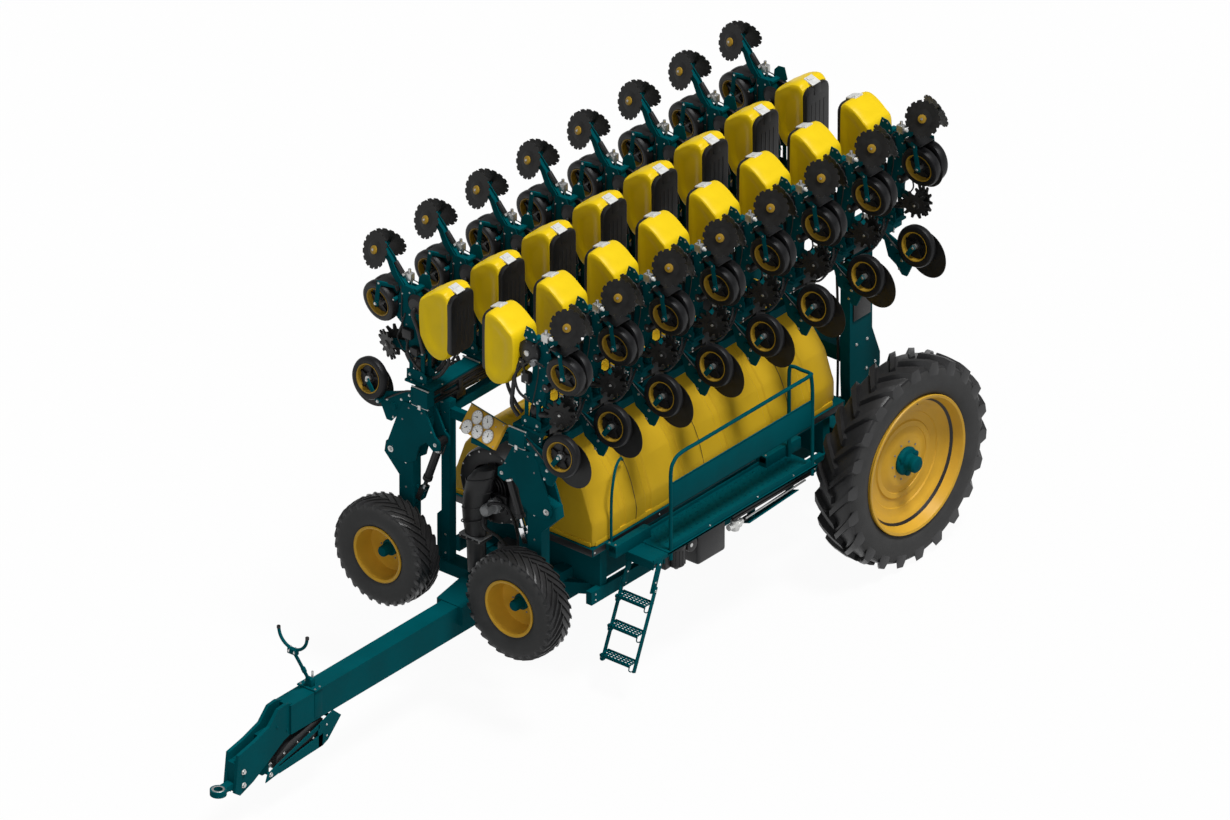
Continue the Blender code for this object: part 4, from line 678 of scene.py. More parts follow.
def hopper_meshes():
    """The seed hopper: a rounded tub with a black lid on its inner face and a latch on top."""
    kit = Kit()
    outline = [(-0.377, 0.655), (-0.335, 0.545), (-0.24, 0.505), (-0.125, 0.55), (-0.045, 0.66),
               (-0.01, 0.76), (-0.006, 1.08), (-0.085, 1.17), (-0.19, 1.245), (-0.29, 1.28),
               (-0.352, 1.252), (-0.378, 1.165)]
    # along the machine, and how full the tub is there
    stations = ((-0.18, 0.78), (-0.172, 0.875), (-0.15, 0.945), (-0.115, 0.985), (-0.07, 1.0), (0.07, 1.0),
                (0.115, 0.985), (0.15, 0.945), (0.172, 0.875), (0.18, 0.78))
    centre = Vector((-0.205, 0.9))
    fine = []
    for k in range(len(outline)):
        corners = [Vector(outline[(k + j) % len(outline)]) for j in (-1, 0, 1, 2)]
        fine += [curve_point(*corners, step / 4) for step in range(4)]
    made = bmesh.new()
    rings = []
    for a, share in stations:
        pulled = [centre + (point - centre) * (1 - (1 - share) * 0.42) for point in fine]
        rings.append([made.verts.new((point.x, a, point.y)) for point in pulled])
    skin(made, rings)
    # each narrow face has a recess, in steps of (width, height, depth)
    steps = ((0.86, 0.9, 0.0), (0.62, 0.72, 0.0), (0.52, 0.66, -0.01), (0.3, 0.5, -0.012))
    for ring, a in ((rings[0], -1), (rings[-1], 1)):
        inner = [[made.verts.new((centre.x - 0.01 + (vert.co.x - centre.x) * wide, vert.co.y + a * deep,
                                  centre.y + (vert.co.z - centre.y) * tall)) for vert in ring]
                 for wide, tall, deep in steps]
        skin(made, [ring] + inner)
        made.faces.new(inner[-1])
    bmesh.ops.recalc_face_normals(made, faces=made.faces)
    kit.grow("hopper", made)
    kit.box("hopper", (-0.012, 0.019), (-0.042, 0.042), (0.83, 1.01), 0.006)
    # lid: a rounded rectangle whose outer layers shrink
    half, tall, corner = 0.177, 0.32, 0.085
    low, middle, high = 0.59, 0.914, 1.238
    outline = []
    for cy, cz, first in ((half - corner, low + corner, -90), (half - corner, high - corner, 0),
                          (corner - half, high - corner, 90), (corner - half, low + corner, 180)):
        for step in range(6):
            angle = math.radians(first + 18 * step)
            outline.append((cy + corner * math.cos(angle), cz + corner * math.sin(angle)))
    layers = ((-0.362, 0.0), (-0.398, 0.0), (-0.409, 0.01), (-0.413, 0.03))
    kit.loft("black", [[(x, a * (1 - shrink / half), middle + (q - middle) * (1 - shrink / tall))
                        for a, q in outline] for x, shrink in layers])
    for a in (-0.09, -0.03, 0.03, 0.09):
        kit.box("black", (-0.4149, -0.4), about(a, 0.01), (0.68, 1.06), 0.003)
    # latch, whose near-white colour is a painted highlight
    kit.bar("latch", (-0.402, 0.01, 1.248), (-0.285, 0.01, 1.286), 0.118, 0.016, (0, 1, 0), 0.004)
    kit.bar("latch", (-0.34, 0.01, 1.274), (-0.296, 0.01, 1.29), 0.08, 0.02, (0, 1, 0), 0.003)
    kit.bar("black", (-0.4145, 0.01, 1.15), (-0.404, 0.01, 1.252), 0.1, 0.012, (0, 1, 0), 0.004)
    kit.box("latch", (-0.415, -0.409), (-0.022, 0.03), (1.18, 1.196), 0.002)
    kit.rod("zinc", (-0.3, -0.028, 1.284), (-0.3, 0.028, 1.284), 0.0035, 8)
    return kit.meshes("hopper")


def place_rows():
    """One set of meshes for all row units and one for all hoppers, placed on each row."""
    rows, hoppers = row_meshes(), hopper_meshes()
    for side, hand in SIDES.items():
        turn = Matrix.Identity(4) if hand > 0 else Matrix.Rotation(math.pi, 4, "Z")
        for k in range(ROWS):
            place = Matrix.Translation((hand * BEAM_X, FIRST_Y + k * PITCH + DY, BEAM_Z)) @ turn
            body = f"{side}_row_{k + 1}"
            show(rows, f"row_{side}_{k + 1}", body, [f"row_unit_{side}_{k + 1}"], place)
            show(hoppers, f"hopper_{side}_{k + 1}", body, [f"seed_hopper_{side}_{k + 1}"], place)


# ---------------------------------------------------------------- wings
def opener(kit, y):
    """A fertilizer opener beside its row: bolted arm, coulter disc and its gauge wheel."""
    x, z = BEAM_X, BEAM_Z
    face = BEAM / 2
    kit.box("teal", (x - face, x + 0.235), about(y, 0.098), (z + face, z + HEAD_TOP - 0.0005), 0.003)
    kit.box("teal", (x + face, x + face + 0.014), (y - 0.16, y + 0.09), about(z, 0.085), 0.003)
    # the last row leaves out the bolts that would meet the lift frame's ears when the toolbars turn
    for a in (-0.14, 0.07) if y < LAST_Y - 0.1 else (0.07,):
        for q in (-0.065, 0.065):
            kit.bolt((x + face + 0.014, y + a, z + q), (1, 0, 0), 0.011)
            kit.rod("zinc", (x - face - 0.012, y + a, z + q * 1.5), (x + face + 0.02, y + a, z + q * 1.5),
                    0.009, 8)
    for a in (-0.075, 0.075):
        for o in (0.02, 0.17):
            kit.bolt((x + o, y + a, z + HEAD_TOP), (0, 0, 1), 0.01)
    arm = [(x + face, z + 0.06), (x + face + 0.07, z + 0.02), (x + 0.47, z - 0.1), (x + 0.53, z - 0.17),
           (x + 0.43, z - 0.385), (x + 0.37, z - 0.385), (x + 0.3, z - 0.3), (x + 0.2, z - 0.24),
           (x + 0.15, z - 0.08), (x + face, z - 0.065)]
    arm_y = y - 0.125
    kit.plate("teal", arm, "Y", about(arm_y, 0.012))
    for o, q in ((0.14, -0.02), (0.24, -0.1), (0.335, -0.203), (0.34, -0.33), (0.42, -0.16),
                 (0.488, -0.146)):
        kit.bolt((x + o, arm_y - 0.012, z + q), (0, -1, 0), 0.012)
    kit.rod("teal", (x + 0.335, arm_y - 0.03, z - 0.203), (x + 0.335, arm_y + 0.03, z - 0.203), 0.04, 20,
            0.004)
    wheel_y = y - 0.18
    small_wheel(kit, (x + 0.59, wheel_y, z + 0.03), (0.06, -1, 0.16), 0.213, 0.086)
    kit.bar("teal", (x + 0.46, wheel_y - 0.052, z - 0.15), (x + 0.595, wheel_y - 0.052, z + 0.04), 0.014,
            0.05, (0, 1, 0), 0.005)
    pin_x, pin_y, pin_z = x + 0.455, wheel_y - 0.058, z - 0.155
    kit.rod("teal", (pin_x, pin_y, pin_z), (pin_x, arm_y + 0.02, pin_z), 0.026, 16, 0.003)
    kit.bolt((pin_x, pin_y, pin_z), (0, -1, 0), 0.014)
    kit.bolt((x + 0.59, wheel_y - 0.059, z + 0.03), (0, -1, 0), 0.014)
    disc_x, disc_y, disc_z = x + 0.64, y - 0.085, z - 0.08
    kit.lathe("disc", [(0.0, -0.004), (0.1, -0.004), (0.249, -0.0015), (0.249, 0.0015), (0.0, 0.004)],
              (disc_x, disc_y, disc_z), (0.05, 1, 0.0), 44)
    kit.lathe("teal", [(0.062, 0.003), (0.06, 0.018), (0.034, 0.024), (0.0, 0.024)],
              (disc_x, disc_y, disc_z), (0, -1, 0), 24)
    ring_of_bolts(kit, (disc_x, disc_y - 0.018, disc_z), (0, -1, 0), 0.046, 5, 0.007)
    kit.bar("teal", (x + 0.47, disc_y - 0.035, z - 0.12), (disc_x, disc_y - 0.03, disc_z), 0.018, 0.046,
            (0, 1, 0), 0.005)
    kit.tube("hose", [(x + 0.07, y - 0.1, z + 0.02), (x + 0.16, y - 0.16, z + 0.03),
                      (x + 0.3, y - 0.17, z - 0.06), (x + 0.44, y - 0.155, z - 0.16)], 0.01, 8)
    kit.box("black", (x + 0.36, x + 0.43), (arm_y + 0.012, arm_y + 0.05), (z - 0.36, z - 0.24), 0.008)


def wing(side):
    """A wing toolbar with everything welded and bolted to it."""
    kit = Kit()
    half, stay = BEAM / 2, 0.05
    x, z = BEAM_X, BEAM_Z
    front, rear = FIRST_Y - 0.15, LAST_Y + 0.216
    stay_z = 2.72
    kit.box("teal", about(x, half), (front, 0.545), about(z, half), 0.012, 3)
    kit.box("teal", about(x, half), (0.645, rear), about(z, half), 0.012, 3)
    for inner, outer in ((-half, -0.038), (0.038, half)):
        kit.box("teal", (x + inner, x + outer), (0.53, 0.66), about(z, half), 0.004)
    kit.box("teal", (x - half - 0.004, x + half + 0.004), (front - 0.006, front + 0.008),
            (z - half - 0.002, z + half), 0.003)
    kit.box("teal", about(x, stay), (front + 0.05, -0.25), about(stay_z, stay), 0.01, 3)
    for y in (-2.7, -0.35):
        kit.plate("teal", [(y - 0.13, stay_z + stay - 0.004), (y + 0.13, stay_z + stay - 0.004),
                           (y + 0.06, z - half + 0.004), (y - 0.06, z - half + 0.004)], "X",
                  about(x, 0.028))
    for k in range(ROWS):
        y = FIRST_Y + k * PITCH
        opener(kit, y)
        if k < ROWS - 1:  # nothing runs on past the last row
            kit.tube("hose", [(x - 0.098, y + 0.02, z + 0.05), (x - 0.11, y + 0.06, z + 0.01),
                              (x - 0.106, y + 0.25, z - 0.02), (x - 0.106, y + 0.5, z + 0.005),
                              (x - 0.106, y + 0.76, z)], 0.014, 8)
            kit.box("black", (x - half - 0.045, x - half - 0.001), (y + 0.28, y + 0.34),
                    (z - 0.05, z + 0.06), 0.01)
    for n, dz in enumerate((-0.052, -0.022, 0.03, 0.056)):
        radius = 0.013 if n % 2 else 0.01
        points = [(x - half - 0.014, front + 0.1 + 0.1 * step, z + dz + 0.004 * math.sin(step * 1.3 + n))
                  for step in range(0, int((rear - front - 0.9) / 0.1), 4)]
        kit.tube("hose", points, radius, 6, 2)
    bundle = ((-0.045, -0.125, 0.024), (0.0, -0.15, 0.028), (0.045, -0.128, 0.022), (0.015, -0.112, 0.02))
    for n, (dx, dz, radius) in enumerate(bundle):
        points = [(x + dx + 0.012 * math.sin(step * 1.9 + n), front + 0.45 + 0.42 * step,
                   z + dz + 0.012 * math.cos(step * 1.4 + n)) for step in range(13)]
        kit.tube("hose", points, radius, 8, 3)
    valves = ((0.11, 0.16, 0.1), (0.13, 0.25, 0.06), (0.12, 0.33, 0.11), (0.13, 0.47, 0.08),
              (0.12, 0.55, 0.12))
    for k in range(ROWS - 1):
        y = FIRST_Y + k * PITCH
        for n, (dx, dy, dz) in enumerate(valves):
            kit.rod("black", (x + half, y + dy, z + dz - 0.07), (x + dx, y + dy, z + dz), 0.02, 12, 0.004)
            kit.bolt((x + dx, y + dy, z + dz), (1, 0, 0.4), 0.012, "zinc" if n % 2 else "grey")
        kit.box("black", (x + half, x + half + 0.05), (y + 0.18, y + 0.54), (z - 0.06, z + 0.05), 0.012)
        kit.tube("hose", [(x + 0.12, y + 0.14, z + 0.14), (x + 0.17, y + 0.26, z + 0.05),
                          (x + 0.15, y + 0.42, z - 0.03), (x + 0.18, y + 0.56, z + 0.06),
                          (x + 0.14, y + 0.64, z + 0.15)], 0.014, 8)
    for k in range(ROWS):
        y = FIRST_Y + k * PITCH + 0.38
        if y < LAST_Y:
            kit.box("black", about(x, 0.075), about(y, 0.07), (z - 0.185, z - half - 0.002), 0.012)
            kit.tube("hose", [(x + 0.07, y, z - 0.13), (x + 0.16, y + 0.04, z - 0.1),
                              (x + 0.2, y + 0.16, z + 0.02), (x + 0.16, y + 0.3, z + 0.13)], 0.012, 6)
    head_bracket(kit)
    if SIDES[side] < 0:
        for made in kit.sets.values():
            made.transform(Matrix.Diagonal((-1, 1, 1, 1)))
            bmesh.ops.reverse_faces(made, faces=made.faces)
    show_kit(kit, f"{side}_wing_looks", f"{side}_wing", f"{side}_wing_beam")


def head_bracket(kit):
    """The bolted plates under the wing's front end, with the pins of the leg and its ram."""
    outline = [(0.42, 2.64), (0.365, 2.6), (0.362, 2.51), (0.44, 2.475), (0.53, 2.545), (0.62, 2.46),
               (0.66, 2.3), (0.76, 2.235), (0.88, 2.232), (0.95, 2.238), (1.005, 2.255), (1.03, 2.34),
               (0.86, 2.8), (0.8, 2.9), (0.55, 2.9)]
    front, rear = -4.6405, -4.5195
    for y in ((front - 0.026, front), (rear, rear + 0.026)):
        kit.plate("teal", outline, "Y", y)
    for px, pz in ((0.58, 2.85), (0.74, 2.85), (0.82, 2.7), (0.46, 2.68)):
        kit.bolt((px, front - 0.026, pz), (0, -1, 0), 0.009, "grey")
        kit.bolt((px, rear + 0.026, pz), (0, 1, 0), 0.009, "grey")
    kit.box("teal", (0.55, 0.74), (front, rear), (2.78, 2.925), 0.006)
    for px, pz, radius in ((0.968, 2.32, 0.034), (RAM_TOP_X, RAM_TOP_Z, 0.0195)):
        kit.rod("zinc", (px, front - 0.032, pz), (px, rear + 0.032, pz), radius, 24, 0.004)
        kit.bolt((px, front - 0.034, pz), (0, -1, 0), radius * 0.55)
    kit.plate("teal", [(-4.6, 2.905), (-4.3, 2.905), (-4.36, 2.77), (-4.55, 2.77)], "X", (0.555, 0.645))
    kit.box("zinc", (0.585, 0.62), (front - 0.04, front - 0.026), (2.88, 2.93), 0.003)
    kit.box("teal", (0.515, 0.72), (front - 0.024, front - 0.004), (2.92, 3.085), 0.004)
    for px in (0.545, 0.6, 0.655):
        for pz in (2.96, 3.0, 3.05):
            kit.bolt((px, front - 0.024, pz), (0, -1, 0), 0.006)


# ---------------------------------------------------------------- tank, fan and panel
def tank_looks():
    """The liquid tank: moulded shell with bands, seams, a bottom flange and top fittings."""
    kit = Kit()
    front, rear, low, high = -3.85, -0.12, 1.53, 2.6
    deep = high - low
    outline = [(0.0, 0.0), (0.8, 0.0), (0.862, 0.012), (0.87, 0.05), (0.87, 0.205 * deep),
               (0.862, 0.245 * deep), (0.845, 0.28 * deep), (0.755, 0.52 * deep), (0.74, 0.55 * deep),
               (0.5, 0.83 * deep), (0.47, 0.855 * deep), (0.24, 0.985 * deep), (0.17, deep), (0.0, deep)]
    ring = outline + [(-x, z) for x, z in reversed(outline[1:-1])]
    # along the machine, and the share of the full section; each band is a shallow groove
    stations = [(front, 0.965), (front + 0.006, 0.982), (front + 0.022, 0.994), (front + 0.05, 1.0)]
    for y in (-3.4, -3.02, -2.52, -1.86, -1.2, -0.62):
        stations += [(y - 0.05, 1.0), (y - 0.034, 0.986), (y + 0.034, 0.986), (y + 0.05, 1.0)]
    stations += [(rear - 0.3, 1.0), (rear - 0.12, 0.975), (rear - 0.03, 0.93), (rear, 0.86)]
    flange = 0.06  # the bottom's height, which keeps its level
    kit.loft("tank", [[(x * share, y, low + z * (share if z > flange else 1.0)) for x, z in ring]
                      for y, share in stations])
    for x in (-0.872, 0.852):
        kit.box("tank", (x, x + 0.02), (front + 0.04, rear - 0.12), (low + 0.004, low + 0.055), 0.006)
    kit.box("tank", (-0.84, 0.84), (front - 0.01, front + 0.03), (low + 0.004, low + 0.05), 0.006)
    for y in (-2.8, -0.95):
        kit.lathe("black", [(0.2, 0.0), (0.21, 0.03), (0.2, 0.055), (0.0, 0.065)], (0, y, high - 0.045),
                  (0, 0, 1), 36)
    kit.tube("tank", [(-0.16, front + 0.2, high - 0.005), (-0.16, -2.0, high - 0.005),
                      (-0.16, rear - 0.4, high - 0.005)], 0.014, 8, 2)
    for y in (-3.21, -2.19, -0.9):
        kit.tube("black", [(0.872, y, low + 0.05), (0.872, y, low + 0.2 * deep),
                           (0.752, y, low + 0.535 * deep), (0.487, y, low + 0.85 * deep)], 0.0028, 6, 4)
    show_kit(kit, "tank_looks", "chassis", "fertilizer_tank")


def fan_looks():
    """The air fan: scroll, guard ring, motor and the duct down to the mast foot."""
    kit = Kit()
    centre = Vector((0.02, -4.36, 2.12))
    kit.lathe("black", [(0.0, -0.3), (0.34, -0.3), (0.385, -0.285), (0.398, -0.25), (0.398, -0.05),
                        (0.385, -0.015), (0.35, 0.0), (0.24, 0.0), (0.232, -0.02), (0.225, -0.12),
                        (0.0, -0.14)], centre, (0, -1, 0), 56)
    for radius in (0.11, 0.15, 0.19):
        points = [centre + Vector((radius * c, -0.006, radius * s)) for c, s in circle(24)]
        kit.tube("black", points, 0.005, 6, 2, True)
    ring_of_bolts(kit, centre, (0, -1, 0), 0.368, 16, 0.008)
    # the elbow and duct: middle, half width and half depth; the elbow's sections are tilted
    spine = [((0.05, -4.4, 2.4), 0.05, 0.05), ((0.03, -4.44, 2.36), 0.13, 0.075),
             ((-0.01, -4.47, 2.26), 0.165, 0.085), ((-0.04, -4.48, 2.1), 0.165, 0.09),
             ((-0.07, -4.475, 1.94), 0.155, 0.09), ((-0.09, -4.46, 1.78), 0.135, 0.088),
             ((-0.1, -4.44, 1.62), 0.118, 0.085), ((-0.1, -4.43, 1.5), 0.105, 0.08),
             ((-0.1, -4.42, 1.182), 0.1, 0.08)]
    elbow_z, tilt = 1.7, 0.35
    kit.loft("black", [[(x + wide * c, y + deep * s, z + tilt * wide * c * (z > elbow_z))
                        for c, s in circle(24)] for (x, y, z), wide, deep in spine])
    for z, wide in ((2.26, 0.17), (2.1, 0.17), (1.94, 0.16), (1.78, 0.14)):
        x = -0.01 - (2.26 - z) * 0.17
        points = [(x + wide * c, -4.472 + 0.09 * s, z + tilt * wide * c) for c, s in circle(20)]
        kit.tube("black", points, 0.007, 6, 2, True)
    kit.box("black", (-0.235, 0.035), (-4.53, -4.35), (1.555, 1.585), 0.006)
    kit.box("grey", (-0.235, 0.035), (-4.53, -4.35), (1.59, 1.61), 0.004)
    for x in (-0.22, -0.14, -0.06, 0.02):
        kit.bolt((x, -4.53, 1.583), (0, -1, 0), 0.009)
    motor = Vector((0.14, -4.34, 2.0))
    kit.lathe("grey", [(0.0, 0.275), (0.035, 0.275), (0.055, 0.262), (0.06, 0.235), (0.06, 0.15),
                       (0.078, 0.145), (0.082, 0.1), (0.07, 0.09), (0.07, 0.0)], motor, (0, -1, 0), 8)
    kit.lathe("black", [(0.07, 0.0), (0.0895, 0.01), (0.0895, 0.085), (0.07, 0.095)], motor, (0, -1, 0), 32)
    ring_of_bolts(kit, motor + Vector((0, -0.096, 0)), (0, -1, 0), 0.078, 8, 0.007)
    kit.box("black", (0.05, 0.25), (-4.4, -4.36), (1.9, 2.1), 0.02)
    kit.tube("hose", [(0.16, -4.56, 2.06), (0.24, -4.58, 2.12), (0.32, -4.47, 2.05), (0.36, -4.37, 1.75),
                      (0.36, -4.35, 1.35)], 0.016, 8)
    kit.tube("hose", [(0.12, -4.58, 1.95), (0.16, -4.62, 1.85), (0.25, -4.5, 1.7), (0.3, -4.38, 1.45),
                      (0.3, -4.35, 1.22)], 0.016, 8)
    show_kit(kit, "fan_looks", "chassis", "fan_housing")


def panel_looks():
    """The dial board: two dials over three, under a teal visor."""
    kit = Kit()
    lean, turn, roll = math.radians(35), math.radians(-11.7), math.radians(5)
    across = Vector((math.cos(turn), math.sin(turn), 0))
    ahead = Vector((-across.y, across.x, 0))
    up = math.sin(lean) * ahead + math.cos(lean) * Vector((0, 0, 1))
    out = across.cross(up).normalized()
    if out.y > 0:
        out = -out
    middle = Vector((0.145, -4.62, 2.945))
    kit.bar("yellow", middle - 0.138 * up, middle + 0.138 * up, 0.535, 0.012, across, 0.004)
    for s in (-0.262, 0.262):
        kit.bar("yellow", middle - 0.136 * up + across * s - out * 0.012,
                middle + 0.136 * up + across * s - out * 0.012, 0.01, 0.034, across, 0.003)
    top = middle + 0.128 * up
    kit.many("bar", "teal",
             (top + up * 0.008, top + up * 0.01 + out * 0.045, 0.538, 0.008, across, 0.003),
             (top + up * 0.01 - out * 0.012, top - up * 0.09 - out * 0.012, 0.53, 0.006, across, 0.002),
             (middle - out * 0.02 - up * 0.1, middle - out * 0.02 + up * 0.1, 0.4, 0.03, across, 0.006))
    kit.box("teal", (0.06, 0.29), (-4.7, -4.4155), (2.766, 2.822), 0.006)
    spots = [(-0.1, 0.058), (0.05, 0.058), (-0.178, -0.066), (-0.026, -0.066), (0.126, -0.066)]
    for s, t in spots:
        rolled = (across * s + up * t) * math.cos(roll) + (up * s - across * t) * math.sin(roll)
        spot = middle + rolled + out * 0.006
        kit.lathe("zinc", [(0.064, 0.0), (0.07, 0.004), (0.07, 0.016), (0.066, 0.019), (0.063, 0.013)],
                  spot, out, 36)
        kit.lathe("white", [(0.065, 0.011), (0.0, 0.0115)], spot, out, 36)
        for k in range(9):
            angle = math.radians(225 - k * 33.75)
            way = across * math.cos(angle) + up * math.sin(angle)
            start = spot + way * 0.046 + out * 0.0125
            kit.bar("black", start, start + way * 0.011, 0.0028, 0.001, way.cross(out), 0)
        angle = math.radians(150 - 40 * s / 0.1)
        hand = across * math.cos(angle) + up * math.sin(angle)
        kit.bar("black", spot - hand * 0.01 + out * 0.0135, spot + hand * 0.034 + out * 0.0135, 0.004,
                0.0015, hand.cross(out), 0)
        kit.rod("black", spot + out * 0.01, spot + out * 0.017, 0.006, 12)
    for s, t in ((-0.24, 0.115), (0.24, 0.115), (-0.24, -0.115), (0.24, -0.115), (0.16, 0.062)):
        kit.bolt(middle + across * s + up * t + out * 0.006, out, 0.007)
    show_kit(kit, "panel_looks", "chassis", "gauge_panel")


# ---------------------------------------------------------------- platform, ladder and pump
def walkway_looks():
    """The platform beside the tank, with its handrail, guard board and the pipes under it."""
    kit = Kit()
    front, rear, inner, outer, floor = -3.24, -1.11, 0.92, 1.35, 1.42
    rail_x, top, tube = 1.33, 2.44, 0.019
    ends = (front - 0.05, rear + 0.05)
    kit.many("box", "teal",
             ((inner, outer), ends, (floor - 0.028, floor - 0.005), 0.003),
             ((inner, inner + 0.012), ends, about(floor, 0.03), 0.003),
             ((outer - 0.01, outer), ends, (floor - 0.03, floor - 0.002), 0.003))
    # raised, open buttons that give grip, in staggered lines
    step = 0.09
    for j in range(5):
        for k in range(int((rear - front) / step)):
            place = (inner + 0.06 + j * 0.075, front + 0.05 + k * step + 0.045 * (j % 2), floor - 0.006)
            kit.lathe("teal", [(0.019, 0.0), (0.015, 0.0055), (0.01, 0.0055), (0.008, 0.0)], place,
                      (0, 0, 1), 10)
    kit.many("box", "teal",
             (about(rail_x, 0.004), (front, rear), (1.862, 2.138), 0.002),
             ((rail_x - 0.012, rail_x + 0.004), (front, rear), (2.128, 2.14), 0.002),
             ((rail_x - 0.012, rail_x + 0.004), (front, rear), (1.86, 1.87), 0.002),
             ((rail_x - 0.004, rail_x + 0.006), (front, rear), (floor - 0.03, 1.478), 0.002))
    # painted shade: black strips under the floor's outer edge stand for the shade beneath the walkway
    kit.box("black", (rail_x - 0.03, rail_x - 0.006), (-2.3, rear), (1.324, floor - 0.031), 0.003)
    kit.box("black", (rail_x - 0.012, rail_x + 0.004), (-2.3, rear), (1.321, 1.345), 0.002)
    rail = [(rail_x, front, 1.31), (rail_x, front, 1.9), (rail_x, front, 2.26),
            (rail_x, front + 0.05, 2.375), (rail_x, front + 0.17, top - tube),
            (rail_x, front + 0.5, top - tube), (rail_x, rear - 0.5, top - tube),
            (rail_x, rear - 0.06, top - tube), (rail_x - 0.035, rear, top - tube),
            (rail_x - 0.14, rear, top - tube), (inner + 0.17, rear, top - tube),
            (inner + 0.125, rear, top - 0.07), (inner + 0.12, rear, 2.1),
            (inner + 0.12, rear, floor - 0.01)]
    kit.tube("teal", rail, tube, 12, 8)
    kit.tube("teal", [(rail_x, rear, 1.31), (rail_x, rear, 1.9), (rail_x, rear, 2.25),
                      (rail_x, rear - 0.02, top - 0.03)], tube, 12, 4)
    for y in (-2.66, -1.94, -1.4):
        kit.bolt((rail_x + 0.006, y, 1.435), (1, 0, 0), 0.008)
    # grab rail beside the tank
    kit.tube("teal", [(0.905, -3.62, 1.43), (0.905, -3.62, 1.9), (0.905, -3.6, 2.12), (0.86, -3.5, 2.26),
                      (0.8, -3.36, 2.28), (0.76, -3.28, 2.22)], 0.014, 10)
    # stringers, brackets and the step well
    for x in (0.981, 1.329):
        kit.bar("teal", (x, -3.515, 1.055), (x, -3.385, 1.4), 0.072, 0.016, (0, 1, 0), 0.003)
        kit.bar("teal", (x, -3.5, 1.385), (x, front, 1.385), 0.014, 0.05, (1, 0, 0), 0.003)
        for z in (1.16, 1.33):
            kit.bolt((x + 0.008, -3.475 + (z - 1.16) * 0.38, z), (1, 0, 0), 0.009)
    kit.box("teal", (0.985, 1.325), (-3.515, front - 0.03), (1.385, 1.405), 0.003)
    for y in (-3.5, -3.33):
        kit.box("teal", (0.985, 1.325), (y, y + 0.012), (1.3, 1.4), 0.002)
    for y in (-3.66, -1.4):
        kit.box("teal", (0.8905, 1.02), about(y, 0.028), (1.452, 1.528), 0.004)
        kit.box("teal", (0.932, 1.018), (y - 0.028, y + 0.5), (1.402, 1.527), 0.004)
        for dx in (0.915, 0.99):
            kit.bolt((dx, y, 1.528), (0, 0, 1), 0.009)
    for y in (-3.0, -2.2, -1.5):
        kit.box("teal", (0.93, 1.33), about(y, 0.02), (1.375, 1.394), 0.003)
    # pipes, a valve and an angled shield under the floor
    kit.rod("zinc", (1.318, -2.1, 1.262), (1.318, -1.2, 1.29), 0.01, 12)
    kit.rod("black", (1.25, -2.2, 1.345), (1.25, -1.15, 1.355), 0.028, 14)
    kit.many("bar", "teal",
             ((1.255, -2.05, 1.165), (1.255, -1.3, 1.205), 0.15, 0.008, (1, 0, 0.35)),
             ((1.25, -1.36, 1.2), (1.25, -1.34, 1.38), 0.09, 0.012, (1, 0, 0)),
             ((1.25, -1.94, 1.17), (1.25, -1.92, 1.38), 0.09, 0.012, (1, 0, 0)))
    # the valve's near-white colour is a painted highlight
    kit.many("rod", "latch",
             ((1.285, -2.32, 1.235), (1.285, -2.12, 1.235), 0.032, 12, 0.004),
             ((1.285, -2.22, 1.285), (1.285, -2.22, 1.175), 0.044, 8, 0.006),
             ((1.25, -2.19, 1.235), (1.335, -2.19, 1.235), 0.026, 12, 0.004))
    kit.bar("zinc", (1.3, -2.22, 1.28), (1.3, -2.14, 1.33), 0.02, 0.01, (1, 0, 0))
    kit.rod("black", (1.285, -2.12, 1.235), (1.285, -1.98, 1.24), 0.022, 12, 0.003)
    show_kit(kit, "walkway_looks", "chassis", "walkway")


def ladder_looks():
    """The folding ladder: two stringers and three gripping treads on bent straps."""
    kit = Kit()
    top, foot = Vector((0, -3.5, 1.085)), Vector((0, -3.82, 0.32))
    inner, outer = 0.95, 1.36
    head = top + (top - foot).normalized() * 0.04
    for x, way in ((inner + 0.01, -1), (outer - 0.01, 1)):
        side = Vector((x, 0, 0))
        kit.bar("teal", head + side, foot + side, 0.016, 0.046, (1, 0, 0), 0.005)
        kit.bolt(top + Vector((x + way * 0.008, 0, 0)), (way, 0, 0), 0.013)
    for share in (0.17, 0.53, 0.89):
        middle = top.lerp(foot, share)
        low, high = middle.z - 0.013, middle.z + 0.013
        y0, y1 = middle.y - 0.088, middle.y + 0.048
        for y in (y0, y1 - 0.008):
            kit.box("teal", (inner + 0.018, outer - 0.018), (y, y + 0.008), (low, high), 0.002)
        for k in range(9):
            x = inner + 0.03 + k * (outer - inner - 0.06) / 8
            kit.box("teal", about(x, 0.008), (y0, y1), (high - 0.008, high), 0.001)
        for k in range(4):
            y = y0 + 0.02 + k * 0.032
            kit.box("teal", (inner + 0.018, outer - 0.018), about(y, 0.004), (high - 0.01, high + 0.002),
                    0.001)
        for x in (inner + 0.028, outer - 0.028):
            kit.tube("teal", [(x, y0 + 0.006, low + 0.004), (x, y0 + 0.004, low - 0.035),
                              (x, y0 + 0.05, low - 0.06), (x, y1 - 0.03, low - 0.035),
                              (x, y1 - 0.012, low + 0.004)], 0.006, 6, 4)
    show_kit(kit, "ladder_looks", "steps", "ladder")


